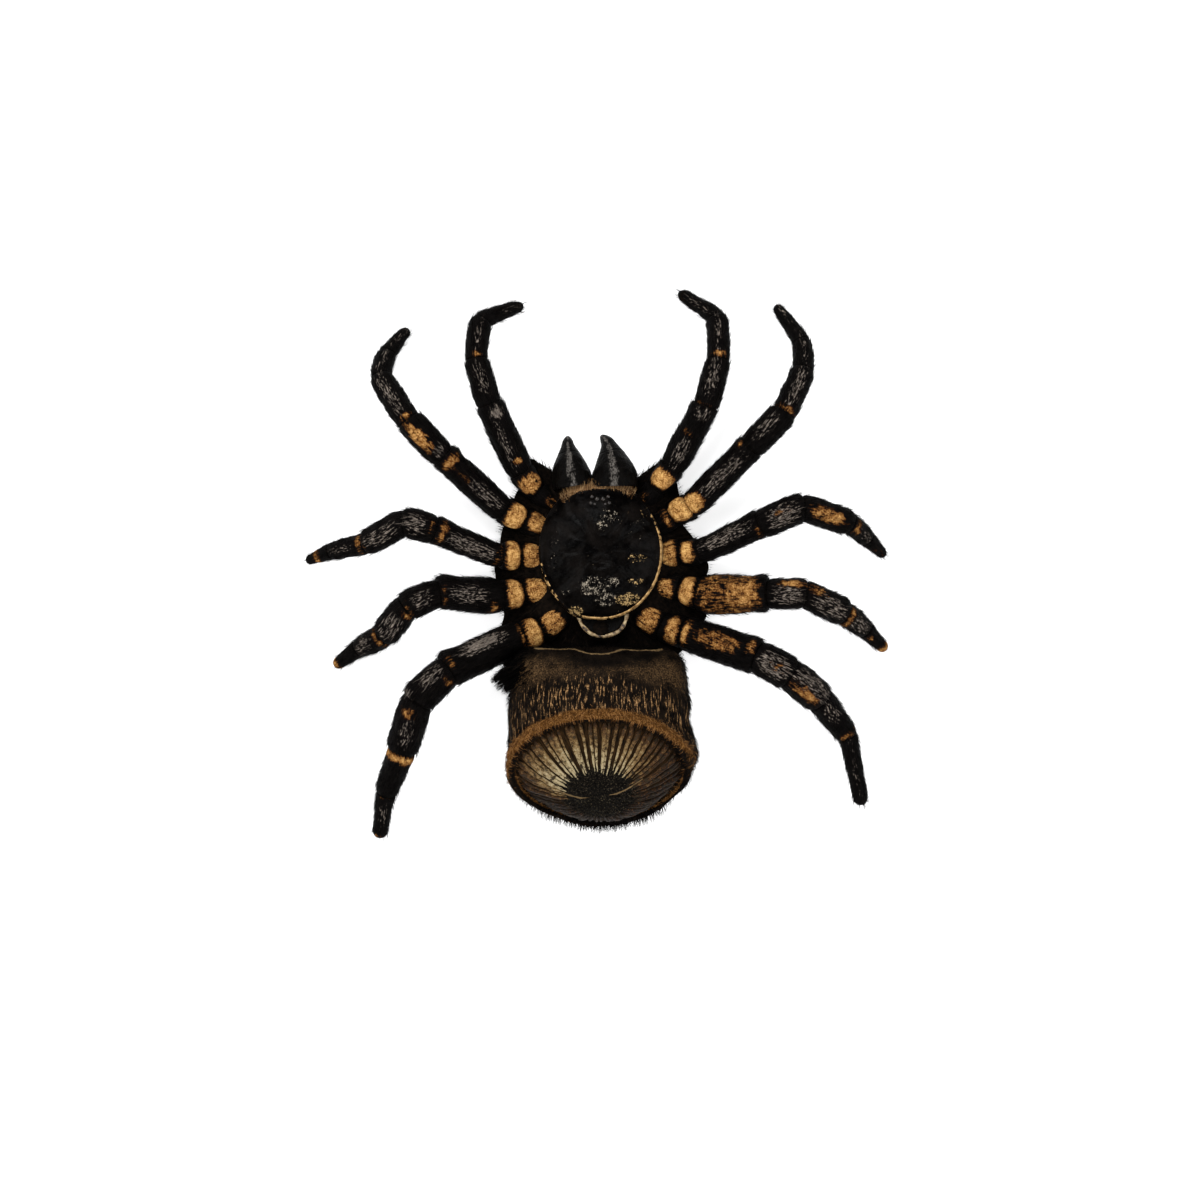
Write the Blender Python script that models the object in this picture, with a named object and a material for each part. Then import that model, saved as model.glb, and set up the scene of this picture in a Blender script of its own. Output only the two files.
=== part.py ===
"""A dried tarantula specimen with its legs spread, lying on its underside.

Metres, +Z up, the head towards +Y and the spider's own left at -X. The origin is the middle
of the sternum's flat underside. Each plate and each leg joint's stretch is its own solid, as
on a dried spider, which comes apart where soft skin hinges one hard piece to the next.
"""

import math

import bmesh
import bpy
from mathutils import Matrix, Vector

MM = 0.001
GAP = 0.3 * MM  # between hard pieces, where the soft skin is
SHOULDER = 0.55  # radius of a limb piece's end cap, as a share of its full radius

# Body, seen from above: breadths along X, places along Y
COXA_TOP = 6.3 * MM
CARAPACE_CENTRE = Vector((-0.2, 0.7)) * MM
CARAPACE_BREADTH = 22.8 * MM
CARAPACE_LENGTH = 25.4 * MM
CARAPACE_RISE = 6.2 * MM
STERNUM_BREADTH = 13.8 * MM
STERNUM_LENGTH = 16.6 * MM
STERNUM_CENTRE_Y = -0.6 * MM

# The abdomen's oval hoops from the waist to the disc's rim, all in millimetres:
# (y, z of the middle, half breadth, half height, lean of the hoop in degrees)
ABDOMEN_HOOPS = (
    (-16.4, 7.6, 4.6, 3.4, 0),
    (-17.6, 8.0, 9.4, 6.8, 2),
    (-19.6, 8.6, 12.9, 9.1, 6),
    (-22.8, 9.1, 15.2, 10.5, 14),
    (-26.6, 9.5, 16.1, 11.5, 23),
    (-31.0, 10.1, 16.3, 12.7, 33),
    (-35.0, 11.4, 16.4, 13.2, 41),
    (-38.3, 12.4, 16.4, 13.5, 46),
)
ABDOMEN_MIDDLE_X = -0.5 * MM
# The domed disc that closes the abdomen: (share of the rim's size, height over the rim in
# millimetres, drop of the ring's middle down the slope in millimetres)
DISC_RINGS = (
    (0.96, 0.7, 0.0),
    (0.88, 0.2, 0.1),
    (0.78, 1.6, 0.4),
    (0.62, 3.4, 0.9),
    (0.42, 4.8, 1.4),
    (0.20, 5.5, 1.7),
)

# Limb joints' heights in millimetres, from the sternum outwards to the tip
PALP_HEIGHTS = (3.3, 3.8, 4.7, 8.6, 8.3, 5.2, 1.3)
LEG_1_HEIGHTS = (3.3, 3.9, 4.9, 10.6, 11.2, 7.4, 3.6, 1.0)
LEG_2_HEIGHTS = (3.3, 3.9, 4.9, 10.0, 10.8, 7.2, 3.2, 1.0)
LEG_3_HEIGHTS = (3.4, 4.0, 5.1, 9.8, 10.6, 7.0, 3.4, 1.1)
LEG_4_HEIGHTS = (3.5, 4.2, 5.3, 11.2, 11.6, 7.6, 3.8, 1.2)

# Radii in millimetres at the two ends of each stretch, from the coxa outwards
PALP_GIRTHS = ((1.8, 2.1), (2.2, 2.2), (2.7, 2.5), (2.4, 2.2), (1.95, 1.85), (1.8, 1.2))
LEG_1_GIRTHS = ((1.9, 2.3), (2.3, 2.35), (2.5, 2.4), (2.45, 2.4), (2.2, 2.0), (1.75, 1.6), (1.4, 0.9))
LEG_2_GIRTHS = ((1.9, 2.4), (2.3, 2.3), (2.3, 2.6), (2.7, 2.5), (2.4, 2.2), (1.7, 1.55), (1.25, 0.85))
LEG_3_GIRTHS = ((1.9, 2.4), (2.4, 2.5), (3.2, 2.7), (2.6, 2.5), (2.5, 2.4), (1.95, 1.8), (1.4, 1.0))
LEG_4_GIRTHS = ((2.0, 2.6), (2.6, 2.6), (2.9, 3.0), (3.0, 2.9), (2.95, 2.7), (2.3, 1.9), (1.5, 1.15))

LEG_PIECES = {
    "coxa": (0, 1),
    "trochanter": (1, 2),
    "femur": (2, 3),
    "patella_tibia": (3, 5),
    "metatarsus_tarsus": (5, 7),
}
PALP_PIECES = {
    "coxa": (0, 1),
    "trochanter": (1, 2),
    "femur": (2, 3),
    "patella_tibia": (3, 5),
    "tarsus": (5, 6),
}

# Each limb: where it starts beside the sternum (x, y in millimetres), then the plan length in
# millimetres and the heading in degrees of every stretch, as the legs dried
LIMBS = {
    "palp_left": (
        (-6.2, 7.6), PALP_HEIGHTS, PALP_GIRTHS, PALP_PIECES,
        ((6.7, 146), (4.7, 127), (13.4, 114), (8.3, 106), (6.7, 84), (8.0, 19)),
    ),
    "palp_right": (
        (6.2, 7.6), PALP_HEIGHTS, PALP_GIRTHS, PALP_PIECES,
        ((5.7, 54), (4.8, 53), (12.5, 62), (8.6, 73), (7.4, 92), (8.2, 150)),
    ),
    "leg_1_left": (
        (-7.2, 3.4), LEG_1_HEIGHTS, LEG_1_GIRTHS, LEG_PIECES,
        ((7.4, 157), (4.3, 152), (14.4, 137), (8.8, 134), (9.4, 124), (4.1, 73), (5.3, 52)),
    ),
    "leg_1_right": (
        (7.2, 3.2), LEG_1_HEIGHTS, LEG_1_GIRTHS, LEG_PIECES,
        ((6.7, 37), (3.8, 31), (15.0, 43), (8.6, 46), (8.4, 67), (4.9, 97), (7.5, 123)),
    ),
    "leg_2_left": (
        (-7.4, -0.8), LEG_2_HEIGHTS, LEG_2_GIRTHS, LEG_PIECES,
        ((7.4, 172), (3.5, 184), (12.9, 159), (5.6, 163), (8.1, 210), (6.5, 193), (4.3, 202)),
    ),
    "leg_2_right": (
        (7.4, -0.8), LEG_2_HEIGHTS, LEG_2_GIRTHS, LEG_PIECES,
        ((6.8, 13), (3.6, 3), (11.9, 24), (8.1, 19), (8.9, -17), (4.2, -40), (4.1, -45)),
    ),
    "leg_3_left": (
        (-7.0, -5.0), LEG_3_HEIGHTS, LEG_3_GIRTHS, LEG_PIECES,
        ((7.4, 193), (4.0, 185), (11.3, 179), (6.3, 202), (6.5, 231), (5.2, 211), (4.9, 216)),
    ),
    "leg_3_right": (
        (7.0, -5.0), LEG_3_HEIGHTS, LEG_3_GIRTHS, LEG_PIECES,
        ((7.1, -6), (3.6, -9), (12.3, -2), (6.6, -2), (7.9, -26), (5.0, -38), (4.7, -44)),
    ),
    "leg_4_left": (
        (-4.6, -8.9), LEG_4_HEIGHTS, LEG_4_GIRTHS, LEG_PIECES,
        ((8.0, 217), (3.8, 199), (14.4, 204), (7.7, 225), (9.3, 251), (8.5, 253), (7.5, 260)),
    ),
    "leg_4_right": (
        (4.6, -8.9), LEG_4_HEIGHTS, LEG_4_GIRTHS, LEG_PIECES,
        ((7.4, -35), (4.3, -7), (13.7, -19), (6.7, -28), (7.2, -40), (8.4, -57), (12.0, -77)),
    ),
}

# Chelicerae and fangs: (x, y, z, radius) in millimetres along each middle line
CHELICERAE = {
    "left": (
        (-5.3, 14.0, 5.7, 3.2), (-5.4, 15.0, 5.7, 3.0), (-5.5, 16.6, 5.5, 2.5), (-5.6, 17.8, 5.3, 1.9),
    ),
    "right": (
        (2.3, 14.0, 5.9, 3.8), (2.35, 15.0, 5.9, 3.6), (2.2, 16.7, 5.6, 2.8), (2.0, 18.0, 5.4, 2.2),
    ),
}
FANGS = {
    "left": ((-5.65, 18.4, 5.1, 1.3), (-5.7, 19.4, 4.6, 1.1), (-5.65, 20.5, 3.8, 0.7), (-5.6, 21.2, 3.0, 0.25)),
    "right": ((1.9, 18.7, 5.2, 1.5), (1.6, 19.7, 4.7, 1.25), (1.1, 20.8, 3.8, 0.75), (0.6, 21.4, 3.0, 0.25)),
}
PEDICEL = ((-0.3, -10.6, 3.4, 1.8), (-0.3, -12.0, 3.6, 2.1), (-0.3, -13.7, 4.7, 2.4), (-0.3, -15.3, 5.6, 1.8))
SPINNERETS = {
    "left": ((-2.6, -44.4, 0.7, 0.5), (-2.9, -45.9, 0.8, 0.55), (-3.3, -47.5, 1.1, 0.4)),
    "right": ((1.6, -44.4, 0.7, 0.5), (1.9, -45.9, 0.8, 0.55), (2.3, -47.5, 1.1, 0.4)),
}


def clear_scene():
    for old in list(bpy.data.objects):
        bpy.data.objects.remove(old)
    for old in list(bpy.data.collections):
        bpy.data.collections.remove(old)


def principled(name, color, roughness, coat=0.0):
    """A finish with one colour, linear RGB."""
    material = bpy.data.materials.new(name)
    material.use_nodes = True
    shader = material.node_tree.nodes["Principled BSDF"]
    shader.inputs["Base Color"].default_value = (*color, 1.0)
    shader.inputs["Roughness"].default_value = roughness
    shader.inputs["Metallic"].default_value = 0.0
    shader.inputs["Coat Weight"].default_value = coat
    material.diffuse_color = (*color, 1.0)
    return material


def add_mesh(name, mesh_maker, material, collection):
    """Puts the bmesh that mesh_maker fills into a smooth-shaded object."""
    mesh = bpy.data.meshes.new(name)
    work = bmesh.new()
    mesh_maker(work)
    bmesh.ops.recalc_face_normals(work, faces=work.faces)
    work.to_mesh(mesh)
    work.free()
    mesh.materials.append(material)
    mesh.shade_smooth()
    mesh.set_sharp_from_angle(angle=math.radians(50))
    piece = bpy.data.objects.new(name, mesh)
    collection.objects.link(piece)
    return piece


def add_tube(name, line, material, collection, sides=8):
    """A round-sectioned piece along line, a list of (point, radius). Its caps are flat."""
    curve = bpy.data.curves.new(name, "CURVE")
    curve.dimensions = "3D"
    curve.bevel_depth = 1.0
    curve.bevel_resolution = sides // 2 - 2
    curve.use_fill_caps = True
    spline = curve.splines.new("POLY")
    spline.points.add(len(line) - 1)
    for control, (point, radius) in zip(spline.points, line):
        control.co = (*point, 1.0)
        control.radius = radius
    curve.materials.append(material)
    piece = bpy.data.objects.new(name, curve)
    collection.objects.link(piece)
    return piece


def bridge_hoops(work, hoops, segments):
    """Joins a row of closed rings, each a 4x4 matrix for a unit circle, and caps both ends."""
    last = len(hoops) - 1
    edges_before = []
    for index, hoop in enumerate(hoops):
        ring = bmesh.ops.create_circle(
            work, cap_ends=index in (0, last), segments=segments, radius=1.0, matrix=hoop
        )
        edges = {edge for vert in ring["verts"] for edge in vert.link_edges}
        if edges_before:
            bmesh.ops.bridge_loops(work, edges=edges_before + list(edges))
        edges_before = list(edges)


def hoop_matrix(middle, half_breadth, half_height, lean):
    """A unit circle's place: upright across Y, leaned forward by lean radians at its top."""
    across = Vector((1, 0, 0))
    up = Vector((0, math.sin(lean), math.cos(lean)))
    turn = Matrix((across, up, across.cross(up))).transposed().to_4x4()
    half_step = Matrix.Rotation(math.pi / 32, 4, "Z")
    size = Matrix.Diagonal((half_breadth, half_height, 1.0, 1.0))
    return Matrix.Translation(middle) @ turn @ size @ half_step


def lay_flat(work):
    """Presses whatever reaches below the resting surface up to it."""
    for vert in work.verts:
        vert.co.z = max(vert.co.z, 0.0)


def make_abdomen(work):
    hoops = []
    for y, z, breadth, height, lean in ABDOMEN_HOOPS:
        middle = Vector((ABDOMEN_MIDDLE_X, y * MM, z * MM))
        hoops.append(hoop_matrix(middle, breadth * MM, height * MM, math.radians(lean)))
    y, z, breadth, height, lean = ABDOMEN_HOOPS[-1]
    lean = math.radians(lean)
    up = Vector((0, math.sin(lean), math.cos(lean)))
    outward = Vector((0, -math.cos(lean), math.sin(lean)))
    rim_middle = Vector((ABDOMEN_MIDDLE_X, y * MM, z * MM))
    for share, rise, drop in DISC_RINGS:
        middle = rim_middle + outward * rise * MM - up * drop * MM
        hoops.append(hoop_matrix(middle, breadth * share * MM, height * share * MM, lean))
    bridge_hoops(work, hoops, 32)
    lay_flat(work)


def carapace_outline(angle):
    """Half breadth and half length of the shield's outline at an angle from +X."""
    narrowing = 1.0 - 0.10 * max(0.0, -math.sin(angle)) ** 3
    return (
        0.5 * CARAPACE_BREADTH * math.cos(angle) * narrowing,
        0.5 * CARAPACE_LENGTH * math.sin(angle),
    )


def make_carapace(work):
    """A domed shield: its outline drawn in and lifted ring by ring, highest over the head."""
    rings = ((0.0, 0.985), (0.16, 1.0), (0.42, 0.955), (0.66, 0.84), (0.85, 0.64), (0.97, 0.36), (1.0, 0.12))
    bridge_hoops(work, [Matrix.Translation((0, 0, rise)) @ Matrix.Diagonal((share, share, 1, 1))
                        for rise, share in rings], 32)
    for vert in work.verts:
        share = math.hypot(vert.co.x, vert.co.y)
        across, along = carapace_outline(math.atan2(vert.co.y, vert.co.x))
        head = 0.5 + 0.5 * vert.co.y
        rise = CARAPACE_RISE * vert.co.z * (0.72 + 0.28 * math.sin(0.5 * math.pi * head))
        vert.co.x = CARAPACE_CENTRE.x + across * share
        vert.co.y = CARAPACE_CENTRE.y + along * share + 0.06 * CARAPACE_LENGTH * (1 - share)
        vert.co.z = COXA_TOP + rise


def make_sternum(work):
    """A thick oval plate between the limbs' inner ends, with a flat underside."""
    rings = ((0.0, 0.86), (0.12, 0.97), (0.35, 1.0), (1.0, 1.0))
    depth = COXA_TOP - 2 * GAP
    middle = Vector((0, STERNUM_CENTRE_Y, 0))
    bridge_hoops(work, [
        Matrix.Translation(middle + Vector((0, 0, rise * depth)))
        @ Matrix.Diagonal((0.5 * STERNUM_BREADTH * share, 0.5 * STERNUM_LENGTH * share, 1, 1))
        for rise, share in rings
    ], 24)


def limb_joints(start, heights, route):
    """The joints' points along one limb, in metres."""
    x, y = start
    joints = [Vector((x, y, heights[0])) * MM]
    for (length, heading), height in zip(route, heights[1:]):
        x += length * math.cos(math.radians(heading))
        y += length * math.sin(math.radians(heading))
        joints.append(Vector((x, y, height)) * MM)
    return joints


def set_back(joints, index, radius):
    """How far a piece's end stays from its joint, so that bent neighbours keep their gap."""
    if index in (0, len(joints) - 1):
        return 0.0
    bend = (joints[index] - joints[index - 1]).angle(joints[index + 1] - joints[index])
    return 0.5 * GAP + SHOULDER * radius * math.tan(0.5 * bend)


def limb_line(joints, girths, first, last):
    """(point, radius) along one piece: rounded ends, slightly swollen before each joint."""
    line = []
    for stretch in range(first, last):
        near, far = joints[stretch], joints[stretch + 1]
        along = (far - near).normalized()
        near_radius, far_radius = (girth * MM for girth in girths[stretch])
        if stretch == first:
            start = near + along * set_back(joints, stretch, near_radius)
            line.append((start, SHOULDER * near_radius))
            line.append((start + along * 0.2 * near_radius, 0.83 * near_radius))
            line.append((start + along * 0.6 * near_radius, near_radius))
        else:
            line.append((near + along * 0.45 * near_radius, 0.97 * near_radius))
        if stretch == last - 1:
            end = far - along * set_back(joints, stretch + 1, far_radius)
            line.append((end - along * 0.6 * far_radius, far_radius))
            line.append((end - along * 0.2 * far_radius, 0.83 * far_radius))
            line.append((end, SHOULDER * far_radius))
        else:
            line.append((far - along * 0.45 * far_radius, far_radius))
    return line


def scaled(line):
    """(x, y, z, radius) rows in millimetres as (point, radius) in metres."""
    return [(Vector((x, y, z)) * MM, radius * MM) for x, y, z, radius in line]


def main():
    clear_scene()
    specimen = bpy.data.collections.new("tarantula_specimen")
    bpy.context.scene.collection.children.link(specimen)

    shield = principled("glossy_shield", (0.010, 0.009, 0.009), 0.22, coat=0.6)
    skin = principled("dark_hairy_skin", (0.018, 0.014, 0.012), 0.62)
    tan = principled("tan_joint_skin", (0.46, 0.26, 0.10), 0.68)
    horn = principled("black_horn", (0.008, 0.007, 0.007), 0.25, coat=0.5)
    ribbed = principled("ribbed_abdomen", (0.075, 0.048, 0.022), 0.6)

    add_mesh("carapace", make_carapace, shield, specimen)
    add_mesh("sternum", make_sternum, skin, specimen)
    add_mesh("abdomen", make_abdomen, ribbed, specimen)
    add_tube("pedicel", scaled(PEDICEL), skin, specimen, sides=10)
    for side in ("left", "right"):
        add_tube(f"chelicera_{side}", scaled(CHELICERAE[side]), horn, specimen, sides=12)
        add_tube(f"fang_{side}", scaled(FANGS[side]), horn, specimen, sides=10)
        add_tube(f"spinneret_{side}", scaled(SPINNERETS[side]), skin, specimen)

    for limb, (start, heights, girths, pieces, route) in LIMBS.items():
        joints = limb_joints(start, heights, route)
        for piece, (first, last) in pieces.items():
            finish = tan if piece in ("coxa", "trochanter") else skin
            line = limb_line(joints, girths, first, last)
            add_tube(f"{limb}_{piece}", line, finish, specimen)


main()
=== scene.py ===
# %% [markdown]
# # A dried tarantula specimen
#
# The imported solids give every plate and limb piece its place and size. This script makes what
# the eye sees around them: wrinkled skin with ochre patches, a glossy shield, a ribbed abdomen
# and hair. Each limb stretch, plate and claw pair is a piece of its own.

# %% Load the frame
import math

import bmesh
import bpy
import numpy as np
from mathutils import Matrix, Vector, noise


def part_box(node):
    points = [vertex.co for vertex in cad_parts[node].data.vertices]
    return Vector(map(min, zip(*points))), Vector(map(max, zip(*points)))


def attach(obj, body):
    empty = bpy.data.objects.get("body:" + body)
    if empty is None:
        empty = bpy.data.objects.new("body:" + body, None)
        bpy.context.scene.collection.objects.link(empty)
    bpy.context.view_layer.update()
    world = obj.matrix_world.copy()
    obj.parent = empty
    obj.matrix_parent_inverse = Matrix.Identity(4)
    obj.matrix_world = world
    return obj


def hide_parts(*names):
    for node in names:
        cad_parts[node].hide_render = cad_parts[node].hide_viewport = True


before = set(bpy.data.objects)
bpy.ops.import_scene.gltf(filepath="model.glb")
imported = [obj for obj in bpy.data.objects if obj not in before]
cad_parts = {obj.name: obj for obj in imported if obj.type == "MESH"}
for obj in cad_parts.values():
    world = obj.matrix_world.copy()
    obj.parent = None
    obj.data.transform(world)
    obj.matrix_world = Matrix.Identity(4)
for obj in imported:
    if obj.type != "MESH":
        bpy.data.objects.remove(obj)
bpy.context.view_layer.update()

MM = 0.001
BODY = "root"

# %% [markdown]
# ## Camera, floor and light
#
# The specimen is looked at from straight above, as on a copy stand. A long lens keeps the
# legs from leaning outwards. It lies on a pale card that glows a little, as on a light table,
# so no hard shadow shows. Soft boxes stand all round it, and the dark room above them keeps
# the black shield black.

# %% Camera
VIEW_CENTRE = Vector((-0.36, -8.1, 0.0)) * MM
VIEW_WIDTH = 216.0 * MM
CAMERA_HEIGHT = 1.5
KNEE_LEVEL = 8.0 * MM  # the height at which the view is VIEW_WIDTH wide

lens = bpy.data.cameras.new("copy_stand_lens")
lens.sensor_width = 36.0
lens.lens = lens.sensor_width * (CAMERA_HEIGHT - KNEE_LEVEL) / VIEW_WIDTH
lens.clip_start = 0.01
camera = bpy.data.objects.new("copy_stand_camera", lens)
camera.location = VIEW_CENTRE + Vector((0, 0, CAMERA_HEIGHT))
bpy.context.scene.collection.objects.link(camera)
bpy.context.scene.camera = camera
bpy.context.scene.view_settings.view_transform = "Standard"
print("lens", round(lens.lens, 1), "mm")


# %% Node helper
def add(tree, kind, inputs=None, **settings):
    """Adds one node. An input is given as a value or as another node's output socket."""
    made = tree.nodes.new(kind)
    for name, value in settings.items():
        setattr(made, name, value)
    for name, value in (inputs or {}).items():
        if isinstance(value, bpy.types.NodeSocket):
            tree.links.new(value, made.inputs[name])
        else:
            made.inputs[name].default_value = value
    return made


# %% Floor
FLOOR_SIZE, FLOOR_DROP = 3.0, 0.1 * MM
FLOOR_GREY, FLOOR_GLOW = 0.45, 0.80

floor_mesh = bpy.data.meshes.new("floor")
floor_work = bmesh.new()
bmesh.ops.create_grid(floor_work, x_segments=1, y_segments=1, size=FLOOR_SIZE)
floor_work.to_mesh(floor_mesh)
floor_work.free()
pale_card = bpy.data.materials.new("pale_card")
pale_card.use_nodes = True
card_shader = pale_card.node_tree.nodes["Principled BSDF"]
for label, value in (("Base Color", (FLOOR_GREY, FLOOR_GREY, FLOOR_GREY, 1.0)), ("Roughness", 0.9),
                     ("Emission Color", (1.0, 1.0, 1.0, 1.0)), ("Emission Strength", FLOOR_GLOW)):
    card_shader.inputs[label].default_value = value
floor_mesh.materials.append(pale_card)
floor = bpy.data.objects.new("floor", floor_mesh)
floor.location.z = -FLOOR_DROP
bpy.context.scene.collection.objects.link(floor)
print("floor", FLOOR_SIZE, "m")

# %% Lamps and room
SOFT_BOXES = (  # name, place in metres, side in metres, power in watts
    ("key_soft_box", (-0.30, 0.75, 0.95), 0.60, 17.0), ("left_soft_box", (-1.0, -0.1, 0.80), 0.8, 12.0),
    ("right_soft_box", (1.0, -0.1, 0.80), 0.8, 12.0), ("low_soft_box", (0.1, -1.0, 0.85), 0.8, 11.0),
)
for name, place, side, power in SOFT_BOXES:
    light = bpy.data.lights.new(name, "AREA")
    light.size = side
    light.energy = power
    lamp = bpy.data.objects.new(name, light)
    lamp.location = place
    lamp.rotation_euler = Vector(place).to_track_quat("Z", "Y").to_euler()
    bpy.context.scene.collection.objects.link(lamp)

room = bpy.data.worlds.new("dim_room")
room.use_nodes = True
room.node_tree.nodes["Background"].inputs["Color"].default_value = (0.75, 0.77, 0.80, 1.0)
room.node_tree.nodes["Background"].inputs["Strength"].default_value = 0.10
bpy.context.scene.world = room
print("lamps", [row[0] for row in SOFT_BOXES])

# %% [markdown]
# ## Reading the limbs out of the frame
#
# Every limb solid is a tube. Its corners lie in rings, and each end is a flat cap. Starting at
# a cap and stepping along the edges visits the rings in order, so the middles of the rings
# give the limb's line and their sizes give its girth. Nothing has to be measured twice.

# %% Rings of a tube-like solid
def rings_of(node, sides, near):
    """Arrays of ring corners in order along a solid, from the cap nearest to the point near."""
    work = bmesh.new()
    work.from_mesh(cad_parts[node].data)
    bmesh.ops.remove_doubles(work, verts=work.verts, dist=1e-6)
    outline = work.copy()
    bmesh.ops.dissolve_limit(outline, angle_limit=math.radians(0.3), verts=outline.verts, edges=outline.edges)
    caps = [face for face in outline.faces if len(face.verts) == sides]
    cap = min(caps, key=lambda face: (face.calc_center_median() - Vector(near)).length)
    corners = [vert.co.copy() for vert in cap.verts]
    outline.free()
    ring = {vert for vert in work.verts if min((vert.co - corner).length for corner in corners) < 0.001 * MM}
    seen = set(ring)
    rings = []
    while ring:
        rings.append(np.array([vert.co for vert in ring]))
        ring = {edge.other_vert(vert) for vert in ring for edge in vert.link_edges} - seen
        seen |= ring
    work.free()
    return rings


def middles_and_girths(rings):
    middles = [ring.mean(axis=0) for ring in rings]
    girths = [np.linalg.norm(ring - middle, axis=1).mean() for ring, middle in zip(rings, middles)]
    return middles, girths


LIMB_SIDES = 8
print("rings of a femur", len(rings_of("leg_1_left_femur", LIMB_SIDES, (0, 0, 0))))

# %% One limb's joints and girths
LEG_STRETCHES = ("coxa", "trochanter", "femur", "patella", "tibia", "metatarsus", "tarsus")
PALP_STRETCHES = ("coxa", "trochanter", "femur", "patella", "tibia", "tarsus")
LEG_NODES = ("coxa", "trochanter", "femur", "patella_tibia", "metatarsus_tarsus")
PALP_NODES = ("coxa", "trochanter", "femur", "patella_tibia", "tarsus")
LIMB_KINDS = ("palp", "leg_1", "leg_2", "leg_3", "leg_4")
LIMBS = [f"{kind}_{side}" for kind in LIMB_KINDS for side in ("left", "right")]


def node_of(limb, stretch):
    """The CAD node that holds a stretch, which may hold two."""
    nodes = PALP_NODES if limb.startswith("palp") else LEG_NODES
    return next(f"{limb}_{node}" for node in nodes if stretch in node.split("_"))


def read_limb(limb):
    """Joint points from hip to tip, and a (near, far) girth for every stretch."""
    joints, girths = [], []
    near = (0.0, 0.0, 0.0)
    for node in PALP_NODES if limb.startswith("palp") else LEG_NODES:
        middles, radii = middles_and_girths(rings_of(f"{limb}_{node}", LIMB_SIDES, near))
        if joints:
            joints[-1] = (joints[-1] + middles[0]) / 2
        else:
            joints.append(middles[0])
        if "_" in node:
            half = len(middles) // 2
            joints.append((middles[half - 1] + middles[half]) / 2)
            girths.append((radii[2], radii[half - 1]))
            girths.append((radii[half], radii[-3]))
        else:
            girths.append((radii[2], radii[-3]))
        joints.append(middles[-1])
        near = middles[-1]
    return np.array(joints), girths


limb_data = {limb: read_limb(limb) for limb in LIMBS}

# %% [markdown]
# ## A line that bends like a leg
#
# Real joints bend over a few millimetres and not at a point, and a dried limb bows a little
# between them. So the joints first move sideways by up to a millimetre. Then the straight
# stretches are sampled closely and averaged with their neighbours, which rounds each bend, and
# what the averaging cut off a bend is added back once.

# %% Smooth line of a limb
SAMPLE = 0.1 * MM
BEND_SOFTNESS = 1.7 * MM
BEND_KEEP = 1.0
TIP_REACH = 0.6 * MM
BOWS = {  # in millimetres, from hip to tip: how far each joint lies towards the outside of the bend
    "palp_left": (0, 0, 0.1, 0.4, 0.6, 0.8, 0.7),
    "palp_right": (0, 0, 0.3, 0.5, 0.4, 0.6, 0.8),
    "leg_1_left": (0, 0, 0.2, 0.4, 0.6, 0.5, 0.5, 0.2),
    "leg_1_right": (0, 0, 0.5, 0, 0.3, 0.4, 0.9, 0.4),
    "leg_2_left": (0, -0.1, -0.4, -0.1, 0.1, -0.2, 0, 0),
    "leg_2_right": (0, -0.1, -0.4, -0.2, 0.5, 0, 0, 0),
    "leg_3_left": (0, -0.1, -0.4, 0.1, 0.1, -0.3, 0.1, 0.1),
    "leg_3_right": (0, -0.1, -0.8, -0.3, 0.2, 0, 0.1, 0),
    "leg_4_left": (0, 0, 0.4, 0.2, 0.4, -0.2, 0.4, 0.2),
    "leg_4_right": (0, 0, -0.3, -0.1, 0, 0, 0.7, 0.3),
}


def bowed(limb, joints):
    """The joints moved sideways by the limb's bow, and the tip of a leg moved on by its reach."""
    ways = np.gradient(joints, axis=0)
    sides = np.cross(ways, (0.0, 0.0, 1.0))
    sides /= np.linalg.norm(sides, axis=1)[:, None]
    outer = (-1 if limb.startswith(("palp", "leg_1")) else 1) * (1 if limb.endswith("left") else -1)
    moved = joints + outer * sides * np.array(BOWS[limb])[:, None] * MM
    if limb.startswith("leg"):
        moved[-1] += TIP_REACH * ways[-1] / np.linalg.norm(ways[-1])
    return moved


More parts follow.
